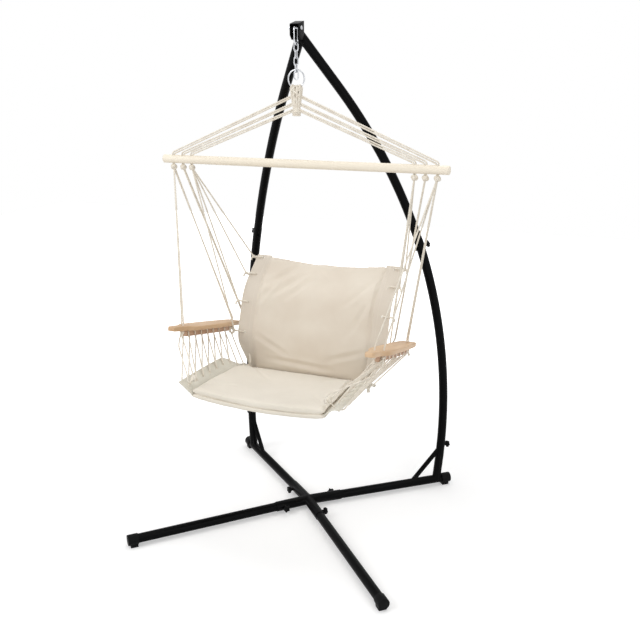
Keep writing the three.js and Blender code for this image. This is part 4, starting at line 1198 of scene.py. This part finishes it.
def swell(pad, cap):
    """Swells a pad as air would, with no point moving further than the cap."""
    remesh = pad.modifiers.new("even_skin", "REMESH")
    remesh.mode = "VOXEL"
    remesh.voxel_size = pad_voxel
    apply_modifiers(pad)
    rest = [v.co.copy() for v in pad.data.vertices]
    cloth = pad.modifiers.new("swell", "CLOTH")
    cloth.settings.use_pressure = True
    cloth.settings.uniform_pressure_force = pad_pressure
    cloth.settings.effector_weights.gravity = 0
    cloth.point_cache.frame_start = 1
    cloth.point_cache.frame_end = pad_frames
    for number in range(1, pad_frames + 1):
        bpy.context.scene.frame_set(number)
    apply_modifiers(pad)
    for vertex, start in zip(pad.data.vertices, rest):
        moved = vertex.co - start
        if moved.length > cap:
            vertex.co = start + moved.normalized() * cap
    finer = pad.modifiers.new("finer", "SUBSURF")
    finer.levels = 1
    finer.render_levels = 1
    apply_modifiers(pad)
    pad.data.shade_smooth()
    bpy.context.scene.frame_set(1)


print("pads swell over", pad_frames, "frames")

# %% [markdown]
# Canvas that has been sat on is never flat. Long soft creases run from the corners, where the seams
# pull, and shallow dents lie between them. They are pressed into the pad after it has swelled.

# %% Creases and dents
dent_scale, dent_depth = 7.0, 0.003
crease_width, crease_taper = 0.011, 0.8
crease_reach = 4 * crease_width
shoulder_share, shoulder_at = 0.6, 1.7


def flattened(place, thin_axis):
    """A place seen through the thin way of a pad, where 0, 1 and 2 are x, y and z."""
    return Vector([0 if i == thin_axis else place[i] for i in range(3)])


def pressed(pad, point, creases, thin_axis):
    """Presses dents and creases into a pad. A crease has two ends on the surface, and a depth."""
    lines = []
    for start, end, depth in creases:
        lines.append((flattened(point(*start), thin_axis), flattened(point(*end), thin_axis), depth))
    normals = [v.normal.copy() for v in pad.data.vertices]
    for vertex, normal in zip(pad.data.vertices, normals):
        place = flattened(vertex.co, thin_axis)
        push = noise.noise(vertex.co * dent_scale) * dent_depth
        for start, end, depth in lines:
            way = end - start
            share = min(max((place - start).dot(way) / way.length_squared, 0), 1)
            aside = (place - (start + way * share)).length
            if aside > crease_reach:
                continue
            fade = math.sin(math.pi * share) ** crease_taper if 0 < share < 1 else 0
            far = aside / crease_width
            shoulder = shoulder_share * math.exp(-((far - shoulder_at) ** 2))
            push += depth * fade * (shoulder - math.exp(-(far**2)))
        vertex.co += normal * push


print("dents are up to", dent_depth, "m deep")

# %% [markdown]
# ### Seat
# The seat is a thick pad on a thin sling of the same canvas. They are two pieces with a small parting
# between them, so that the front edge shows both. The creases are where a sitter's weight pulls.

# %% Seat pad and its sling
pad_span, sling_span = (0.004, 1), (0, 1)
pad_rims, sling_rims = (0.0205, 0.006), (0.0145, 0.004)
pad_cap, sling_cap = 0.006, 0.003
pad_share, seat_inset, seat_margin = 0.58, 0.002, 0.0006
seat_low, seat_high = -seat_thickness / 2, seat_thickness / 2
parting = lerp(seat_high, seat_low, pad_share)
pad_faces = (parting + seat_margin, seat_high - seat_inset)
sling_faces = (seat_low + seat_inset, parting - seat_margin)
upper_rows = pad_shape(seat_point, *pad_faces, pad_rims, pad_span)
seat_pad = pad_object("seat_pad", upper_rows, canvases["seat"])
swell(seat_pad, pad_cap)
lower_rows = pad_shape(seat_point, *sling_faces, sling_rims, sling_span)
seat_sling = pad_object("seat_sling", lower_rows, canvases["seat"])
swell(seat_sling, sling_cap)
seat_creases = [
    # one end and the other, as shares across and along the seat, and depth
    ((-0.97, 0.9), (-0.35, 0.6), 0.003),
    ((0.97, 0.9), (0.4, 0.62), 0.003),
    ((-0.75, 0.95), (0.6, 0.93), 0.0035),
    ((-0.9, 0.12), (-0.5, 0.3), 0.002),
    ((0.92, 0.1), (0.55, 0.34), 0.002),
]
pressed(seat_pad, seat_point, seat_creases, 2)
for pad in (seat_pad, seat_sling):
    attach(pad, "chair", ["seat_cushion"])
print("seat pad vertices:", len(seat_pad.data.vertices))

# %% [markdown]
# ### Back
# The back is one pad, drawn taut at its upper corners by the ropes. Its longest creases fan out from
# there, and a deep fold lies low down, where it turns under into the crease of the seat.

# %% Back pad
back_span, back_rims, back_cap, back_inset = (0.05, 0.997), (0.008, 0.007), 0.005, 0.003
back_half_depth = back_thickness / 2 - back_inset
back_rows = pad_shape(back_point, -back_half_depth, back_half_depth, back_rims, back_span)
back_pad = pad_object("back_pad", back_rows, canvases["back"])
swell(back_pad, back_cap)
back_creases = [
    ((-0.88, 0.72), (-0.42, 0.97), 0.0042),
    ((-0.74, 0.64), (-0.22, 0.95), 0.0038),
    ((-0.52, 0.62), (-0.08, 0.9), 0.003),
    ((-0.95, 0.55), (-0.62, 0.86), 0.0034),
    ((0.93, 0.9), (0.45, 0.62), 0.0032),
    ((0.9, 0.7), (0.6, 0.4), 0.0026),
    ((-0.92, 0.34), (-0.3, 0.2), 0.0036),
    ((-0.75, 0.16), (0.5, 0.13), 0.0045),
    ((0.93, 0.3), (0.3, 0.2), 0.0034),
    ((-0.2, 0.99), (0.15, 0.86), 0.0028),
]
pressed(back_pad, back_point, back_creases, 1)
attach(back_pad, "chair", ["back_cushion"])
print("back pad vertices:", len(back_pad.data.vertices))

# %% [markdown]
# ### Side strips
# A canvas strip runs along each side of the seat and the back. It is doubled cloth with real eyelet
# holes, and rows of stitches hold its fold down. A stitch is one short thread, set end to end.

# %% Strips
eyelet_count = 9
seat_eyelets = [lerp(0.07, 0.9, i / (eyelet_count - 1)) for i in range(eyelet_count)]
seat_rear_eyelet = 0.955
back_eyelets = [0.96, 0.74, 0.44, 0.14]
strip_columns, strip_rows = 8, {"seat": 48, "back": 36}
strip_starts = {"seat": 0, "back": -0.22}
narrow_share, full_width_at = 0.45, 0.08
strip_tuck = -0.012
eyelet_ring_radius, eyelet_ring_steps, eyelet_ring_around = 0.0011, 20, 8
stitch_rows = (0.006, 0.048, 0.0535)
stitch_radius, stitch_length, stitch_gap = 0.0004, 0.0032, 0.0016
stitch_line_steps, stitch_around = 40, 5
drill_reach = 0.01


def strip_object(name, hem_at, rows, material, start):
    """A strip along its seam. With a start below zero it runs on past its end and narrows."""
    half = strip_thickness / 2
    vertices = []
    for j in range(rows + 1):
        share = lerp(start, 1, j / rows)
        hem = hem_at(share)
        width = strip_width_at(share, start)
        line = [lerp(strip_tuck, width, i / strip_columns) for i in range(strip_columns + 1)]
        vertices.extend(hem.at(out, half) for out in line)
        vertices.extend(hem.at(out, -half) for out in reversed(line))
    return new_object(name, vertices, ring_faces(rows + 1, 2 * (strip_columns + 1)), material)


def strip_width_at(share, start):
    if start == 0:
        return strip_width
    return strip_width * lerp(narrow_share, 1, smooth(start, full_width_at, share))


def flat_strip(hem_at, start, rows):
    """The length and area of the cloth that a strip is cut from."""
    length = area = 0.0
    for j in range(rows):
        share, following = lerp(start, 1, j / rows), lerp(start, 1, (j + 1) / rows)
        step = (hem_at(following).seam - hem_at(share).seam).length
        length += step
        area += step * (strip_width_at(share, start) - strip_tuck)
    return length, area


def stitches(mesh, hem_at, out, face):
    """A row of stitches along a strip."""
    pitch = stitch_length + stitch_gap
    seam = [hem_at(j / stitch_line_steps).at(out, face) for j in range(stitch_line_steps + 1)]
    line = evenly(seam, pitch)
    for start, end in zip(line, line[1:]):
        add_tube(mesh, [start, start.lerp(end, stitch_length / pitch)], stitch_radius, stitch_around)


def trimmed_strip(side, panel, hem_at, eyelets):
    """A strip with its eyelets, rings and stitches."""
    node = f"{panel}_strip_{side}"
    start, rows = strip_starts[panel], strip_rows[panel]
    strip = outward(strip_object(node + "_sewn", hem_at, rows, canvases["edging_" + panel], start))
    faces = (strip_thickness / 2, -strip_thickness / 2)
    ring_reach = eyelet_radius + eyelet_ring_radius / 2
    holes = []
    trim = ([], [])
    for share in eyelets:
        hem = hem_at(share)
        below, above = (hem.at(eyelet_reach, reach) for reach in (-drill_reach, drill_reach))
        holes.append((below, above, eyelet_radius))
        along = hem.out.cross(hem.up)
        for face in faces:
            centre = hem.at(eyelet_reach, face)
            line = arc(centre, hem.out, along, ring_reach, 0, full_turn, eyelet_ring_steps)[:-1]
            add_tube(trim, line, eyelet_ring_radius, eyelet_ring_around, closed=True)
    cut_holes(strip, holes)
    strip.data.shade_smooth()
    strip.data.set_sharp_from_angle(angle=smooth_limit)
    for out in stitch_rows:
        for face in faces:
            stitches(trim, hem_at, out, face)
    sewing = new_object(node + "_sewing", *trim, rope_cotton)
    attach(strip, "chair", [node])
    attach(sewing, "chair", [node])
    length, area = flat_strip(hem_at, start, rows)
    return length


for side, sign in side_signs.items():
    all_seat_eyelets = [*seat_eyelets, seat_rear_eyelet]
    seat_length = trimmed_strip(side, "seat", lambda v: seat_hem(sign, v), all_seat_eyelets)
    back_length = trimmed_strip(side, "back", lambda v: back_hem(sign, v), back_eyelets)
print("strips:", round(seat_length, 3), "and", round(back_length, 3), "m long")

# %% [markdown]
# ## Rope work
# Six cords on each side run from the crown to the bar, in pairs. Each pair drops through its hole to a
# thick knot, and its cords go on to the armrest, the corner of the seat, or the side of the back. All
# of them carry weight, so they run straight, with a small bend wherever they pass a hole.

# %% Rope measures
crown_seat = ring_middle - ring_radius
crown_top = crown_seat + 4 * ring_wire
crown_height = 0.112
crown_bottom = crown_top - crown_height
crown_exits = {"front": (0.64, 0.62), "middle": (0.4, 0.48), "rear": (0.2, 0.42)}
crown_half_width = 0.025
corner_reach, crown_overlap = 0.009, 0.008
tail_length, tail_share = 0.02, 0.9


def crown_exit(sign, row):
    height, width = crown_exits[row]
    return spot(sign * width * crown_half_width, 0, lerp(crown_bottom, crown_top, height))


def rounded_cord(mesh, points, radius=cord_radius):
    add_cord(mesh, corner_blend(points, corner_reach), radius)


def upper_cords(mesh, sign, row):
    """The pair of cords from the crown to a hole in the bar, and down to the knot under it."""
    start = crown_exit(sign, row)
    for pair_side in (-1, 1):
        shift = sign * pair_side * pair_offset
        hole = spot(sign * bar_holes[row] + shift, 0, bar_height + bar_radius + 2 * cord_radius)
        way = (hole - start).normalized()
        beside = way.cross(rearward) * shift
        over = hole + up * pair_side * pair_offset
        under = Vector((hole.x, hole.y, knot_height))
        rounded_cord(mesh, [start - way * crown_overlap + beside, over, under])


def bar_knot(sign, row):
    return spot(sign * bar_holes[row], 0, knot_height)


def small_knot(mesh, centre, tail_way, axis=up):
    add_knot(mesh, centre, small_knot_size, axis)
    add_tail(mesh, centre, tail_way, tail_length, cord_radius * tail_share)


def into_board(sign, start, along, out):
    """A cord's way down to a hole in the armrest and through it."""
    clear = 4 * cord_radius
    return [
        start,
        arm_point(sign, along, out, arm_thickness + clear),
        arm_point(sign, along, out, arm_thickness / 2),
        arm_point(sign, along, out, -small_knot_size / 2),
    ]


print("six cords a side reach the bar at", sorted(bar_holes.values()), "m from the middle")

# %% [markdown]
# The front ropes carry the armrests. From each knot two cords go to the two front holes, and a pair
# goes to the rear hole. Knots under the board keep them from pulling out.

# %% Front ropes, to the armrests
front_knot_share, front_tail_length = 0.9, 1.3 * tail_length
front_tail_way, rear_tail_out, rear_tail_way = Vector((0, -0.4, -1)), 0.7, Vector((0, 0.2, -0.8))


def front_rope(mesh, sign):
    start = bar_knot(sign, "front")
    for along, out in front_holes:
        rounded_cord(mesh, into_board(sign, start, along, out))
        under = arm_point(sign, along, out, -small_knot_size / 2 - piece_gap)
        small_knot(mesh, under, front_tail_way)
    for pair_side in (-1, 1):
        line = into_board(sign, start, rear_hole_along, pair_side * pair_offset)
        line[0] = start + rearward * pair_side * pair_offset
        rounded_cord(mesh, line)
    under = arm_point(sign, rear_hole_along, 0, -knot_size / 2 - piece_gap)
    add_knot(mesh, under, knot_size * front_knot_share)
    for sideways in (-1, 1):
        way = rear_tail_way + across * sideways * rear_tail_out
        add_tail(mesh, under, way, front_tail_length, cord_radius)


print("holes in each armrest for them:", len(front_holes) + 1)

# %% [markdown]
# The middle ropes carry the rear corners of the seat. They pass just inside the armrest's end, go
# through the last eyelet together, and are held by one knot above it and one below.

# %% Middle ropes, to the rear corners of the seat
corner_knot_share, corner_tail_share = 1.25, 1.4
corner_tail_out, corner_tail_back, corner_tail_rise = 0.5, 0.8, 0.5
hanging_tail_way = Vector((0, 0.3, -1))


def middle_rope(mesh, sign):
    start = bar_knot(sign, "middle")
    hem = seat_hem(sign, seat_rear_eyelet)
    board_end = arm_point(sign, arm_end, 0, 0)
    passing_x = sign * (arm_x - arm_width / 2 - small_knot_size)
    for pair_side in (-1, 1):
        shift = rearward * pair_side * pair_offset
        passing = Vector((passing_x, board_end.y, board_end.z + arm_thickness)) + shift
        above = hem.at(eyelet_reach, 2 * small_knot_size) + shift
        rounded_cord(mesh, [start + shift, passing, above, hem.at(eyelet_reach, small_knot_size / 2)])
    clear = (small_knot_size + strip_thickness) / 2 + cord_slip
    top, bottom = hem.at(eyelet_reach, clear), hem.at(eyelet_reach, -clear)
    rounded_cord(mesh, [top, bottom])
    add_knot(mesh, top, small_knot_size * corner_knot_share)
    small_knot(mesh, bottom, hanging_tail_way)
    tail_size = (tail_length * corner_tail_share, cord_radius * tail_share)
    for back in (-1, 1):
        way = Vector((-sign * corner_tail_out, back * corner_tail_back, corner_tail_rise))
        add_tail(mesh, top, way, *tail_size)


print("they meet the seat", round(seat_rear_eyelet, 3), "of the way back")

# %% [markdown]
# The rear ropes hold the back. Four cords fan out from each knot, and each one goes through an eyelet,
# round the edge of the strip, and ties to itself.

# %% Rear ropes, to the sides of the back
tie_tail_way = (0.8, -0.5, -0.4)


def rear_rope(mesh, sign):
    start = bar_knot(sign, "rear")
    for share in back_eyelets:
        hem = back_hem(sign, share)
        clear = strip_thickness / 2 + cord_radius + cord_slip
        tie = hem.at(strip_width + small_knot_size, clear)
        add_cord(mesh, [start, tie], cord_radius)
        loop = [
            tie,
            hem.at(eyelet_reach + cord_radius, clear + cord_radius),
            hem.at(eyelet_reach, 0),
            hem.at(eyelet_reach + cord_radius, -clear - cord_radius),
            hem.at(strip_width + 2 * cord_radius, -clear),
            tie,
        ]
        rounded_cord(mesh, loop)
        out, back, rise = tie_tail_way
        small_knot(mesh, tie, Vector((sign * out, back, rise)), (start - tie).normalized())


lower_ropes = {"front": front_rope, "middle": middle_rope, "rear": rear_rope}
for side, sign in side_signs.items():
    for row, lower_rope in lower_ropes.items():
        mesh = ([], [])
        upper_cords(mesh, sign, row)
        add_knot(mesh, bar_knot(sign, row), knot_size)
        lower_rope(mesh, sign)
        node = f"rope_{row}_{side}"
        attach(new_object(node + "_laid", *mesh, rope_cotton), "chair", [node])
print("rope pieces:", len(side_signs) * len(lower_ropes))

# %% [markdown]
# ### Side nets
# One cord zigzags between the rail's notches and the seat's eyelets. It goes over the rail in each
# notch, and through each eyelet and back round the edge of the strip.

# %% Side nets
rail_half, rail_height, notch_depth = 0.008, 0.026, 0.009
rail_front, rail_back, rail_margin = 0.1, 0.052, 0.012
notch_count = eyelet_count - 1
notch_start = arm_tip + rail_front + rail_margin
notch_end = arm_end - rail_back - rail_margin
notches = [lerp(notch_start, notch_end, i / (notch_count - 1)) for i in range(notch_count)]
tassel_size, tassel_rise, tassel_cord_share, tassel_lean = 0.026, 0.036, 0.24, 0.3
tassel_tails = [(0.2, 0.3, 1), (-0.5, -0.2, 0.6)]
slack_drop, slack_turn, slack_back = (0, -0.024, -0.045), (0, -0.045, 0.03), (0, -0.04, -0.006)
slack_bend, leg_sag = 0.03, 0.004
net_corner = 0.005


def over_rail(sign, along):
    """Up the outer side of the rail, through a notch over it, and down inside."""
    top, bottom = -piece_gap - notch_depth, -piece_gap - rail_height
    clear = net_radius + cord_slip
    slant = clear * math.sqrt(0.5)
    places = [
        (rail_half + clear, bottom),
        (rail_half + clear, top),
        (rail_half + slant, top + slant),
        (-rail_half - slant, top + slant),
        (-rail_half - clear, top),
        (-rail_half - clear, top - notch_depth),
    ]
    return [arm_point(sign, along, out, rise) for out, rise in places]


def through_eyelet(sign, share):
    """Down through an eyelet, and back round the outer edge of the strip."""
    hem = seat_hem(sign, share)
    clear = strip_thickness / 2 + net_radius + cord_slip
    return [
        hem.at(eyelet_reach, 2 * net_radius),
        hem.at(eyelet_reach, -clear / 2),
        hem.at(eyelet_reach + net_radius, -clear),
        hem.at(strip_width + clear / 2, -clear),
        hem.at(strip_width + clear, 0),
    ]


def tassel(mesh, sign):
    """The thick knot and slack loop at the front of the net."""
    hem = seat_hem(sign, seat_eyelets[0])
    knot = hem.at(eyelet_reach, tassel_rise)
    facing = Vector((sign, 0, tassel_lean)).normalized()
    add_knot(mesh, knot, tassel_size, facing, tassel_cord_share)
    for out, back, rise in tassel_tails:
        add_tail(mesh, knot, Vector((out * sign, back, rise)), tail_length, cord_radius)
    along, out = front_holes[1]
    under = arm_point(sign, along, out, -small_knot_size)
    slack = [under, under + Vector(slack_drop), knot + Vector(slack_turn)]
    slack += [knot + Vector(slack_back), knot]
    add_cord(mesh, corner_blend(slack, slack_bend), net_radius)
    add_cord(mesh, [under, under.lerp(knot, 0.5) + rearward * leg_sag, knot], net_radius)
    return knot


for side, sign in side_signs.items():
    mesh = ([], [])
    route = [tassel(mesh, sign)]
    for along, share in zip(notches, seat_eyelets):
        route += through_eyelet(sign, share) + over_rail(sign, along)
    last = seat_hem(sign, seat_eyelets[-1])
    clear = (small_knot_size + strip_thickness) / 2 + cord_slip
    route += [last.at(eyelet_reach, 2 * net_radius), last.at(eyelet_reach, -clear)]
    add_cord(mesh, corner_blend(route, net_corner), net_radius)
    small_knot(mesh, last.at(eyelet_reach, -clear), hanging_tail_way)
    node = f"side_net_{side}"
    attach(new_object(node + "_laid", *mesh, rope_cotton), "chair", [node])
print("nets laid between", notch_count, "notches and", eyelet_count, "eyelets")

# %% [markdown]
# ### The crown
# All the cords meet in a braid under the ring. Two sets of strands wind round it in opposite ways and
# pass over and under each other. Upright strands fill the inside, loops hold the ring, and a few
# turns of cord bind the foot.

# %% Crown
crown_growth = [
    # share of the height, share of the way from the bottom's size to the top's
    (0, -0.12),
    (0.06, 0.04),
    (0.3, 0.14),
    (0.65, 0.75),
    (0.88, 1),
    (1, 0.7),
]
crown_top_half, crown_bottom_half = Vector((0.025, 0.0135)), Vector((0.0125, 0.0105))
crown_steps, braid_span, filler_span, core_span = 60, (0.015, 0.985), (0.01, 0.97), (0.02, 0.5, 0.96)
braid_strands, braid_turns, braid_cord, braid_wave, braid_inset = 6, 0.75, 0.0037, 0.0016, 0.9
filler_strands, filler_steps, filler_share, filler_swell, filler_around = 10, 12, 0.72, 1.25, 8
core_swell, core_around = 0.8, 10
ring_loops, loop_reach, loop_steps, loop_bend = 6, 0.0175, 12, 0.003
loop_foot_share, loop_foot_width, loop_foot_drop = 0.8, 0.9, 0.022
binding_turns, binding_from, binding_pitch, binding_steps, binding_rise = 3, 0.035, 0.052, 24, 0.001


def crown_point(angle, share, inset):
    """A point round the crown, at a share of its height, a little way in from its skin."""
    k = max(i for i, (height, growth) in enumerate(crown_growth[:-1]) if height <= share)
    (low, from_growth), (high, to_growth) = crown_growth[k], crown_growth[k + 1]
    growth = lerp(from_growth, to_growth, (share - low) / (high - low))
    half = crown_bottom_half.lerp(crown_top_half, growth)
    z = lerp(crown_bottom, crown_top, share)
    return spot((half.x - inset) * math.cos(angle), (half.y - inset) * math.sin(angle), z)


def braid(mesh, direction):
    for strand in range(braid_strands):
        line = []
        for i in range(crown_steps + 1):
            share = i / crown_steps
            angle = full_turn * (strand / braid_strands + direction * braid_turns * share)
            weave = direction * braid_wave * math.cos(full_turn * braid_strands * braid_turns * share)
            line.append(crown_point(angle, lerp(*braid_span, share), braid_cord * braid_inset - weave))
        add_cord(mesh, line, braid_cord)


def crown_filling(mesh):
    for strand in range(filler_strands):
        angle = full_turn * strand / filler_strands
        inset = crown_bottom_half.y * (1 - filler_share)
        shares = [lerp(*filler_span, i / filler_steps) for i in range(filler_steps + 1)]
        line = [crown_point(angle, share, inset) for share in shares]
        add_tube(mesh, line, braid_cord * filler_swell, filler_around)
    core = [spot(0, 0, lerp(crown_bottom, crown_top, share)) for share in core_span]
    add_tube(mesh, core, crown_bottom_half.y * core_swell, core_around)


def loops_over_ring(mesh):
    """Loops of cord round the ring's wire, with both their feet in the crown."""
    hug = ring_wire + cord_radius
    depth = crown_point(math.pi / 2, loop_foot_share, braid_cord).y - bolt_y
    for i in range(ring_loops):
        x = lerp(-loop_reach, loop_reach, i / (ring_loops - 1))
        drop = math.sqrt(ring_radius**2 - x * x)
        wire = spot(x, 0, ring_middle - drop)
        inward = Vector((-x, 0, drop)).normalized()
        over = arc(wire, rearward, inward, hug, 0, math.pi, loop_steps)
        foot_x, foot_z = x * loop_foot_width, crown_top - loop_foot_drop
        line = [spot(foot_x, depth, foot_z), *over, spot(foot_x, -depth, foot_z)]
        add_cord(mesh, corner_blend(line, loop_bend), cord_radius)


def binding(mesh):
    for turn in range(binding_turns):
        share = binding_from + turn * binding_pitch
        angles = [full_turn * i / binding_steps for i in range(binding_steps)]
        line = [crown_point(angle, share, -binding_rise) for angle in angles]
        add_cord(mesh, line, cord_radius, closed=True)


mesh = ([], [])
braid(mesh, 1)
braid(mesh, -1)
crown_filling(mesh)
loops_over_ring(mesh)
binding(mesh)
attach(new_object("rope_crown_braided", *mesh, rope_cotton), "chair", ["rope_crown"])
print("crown vertices:", len(mesh[0]))
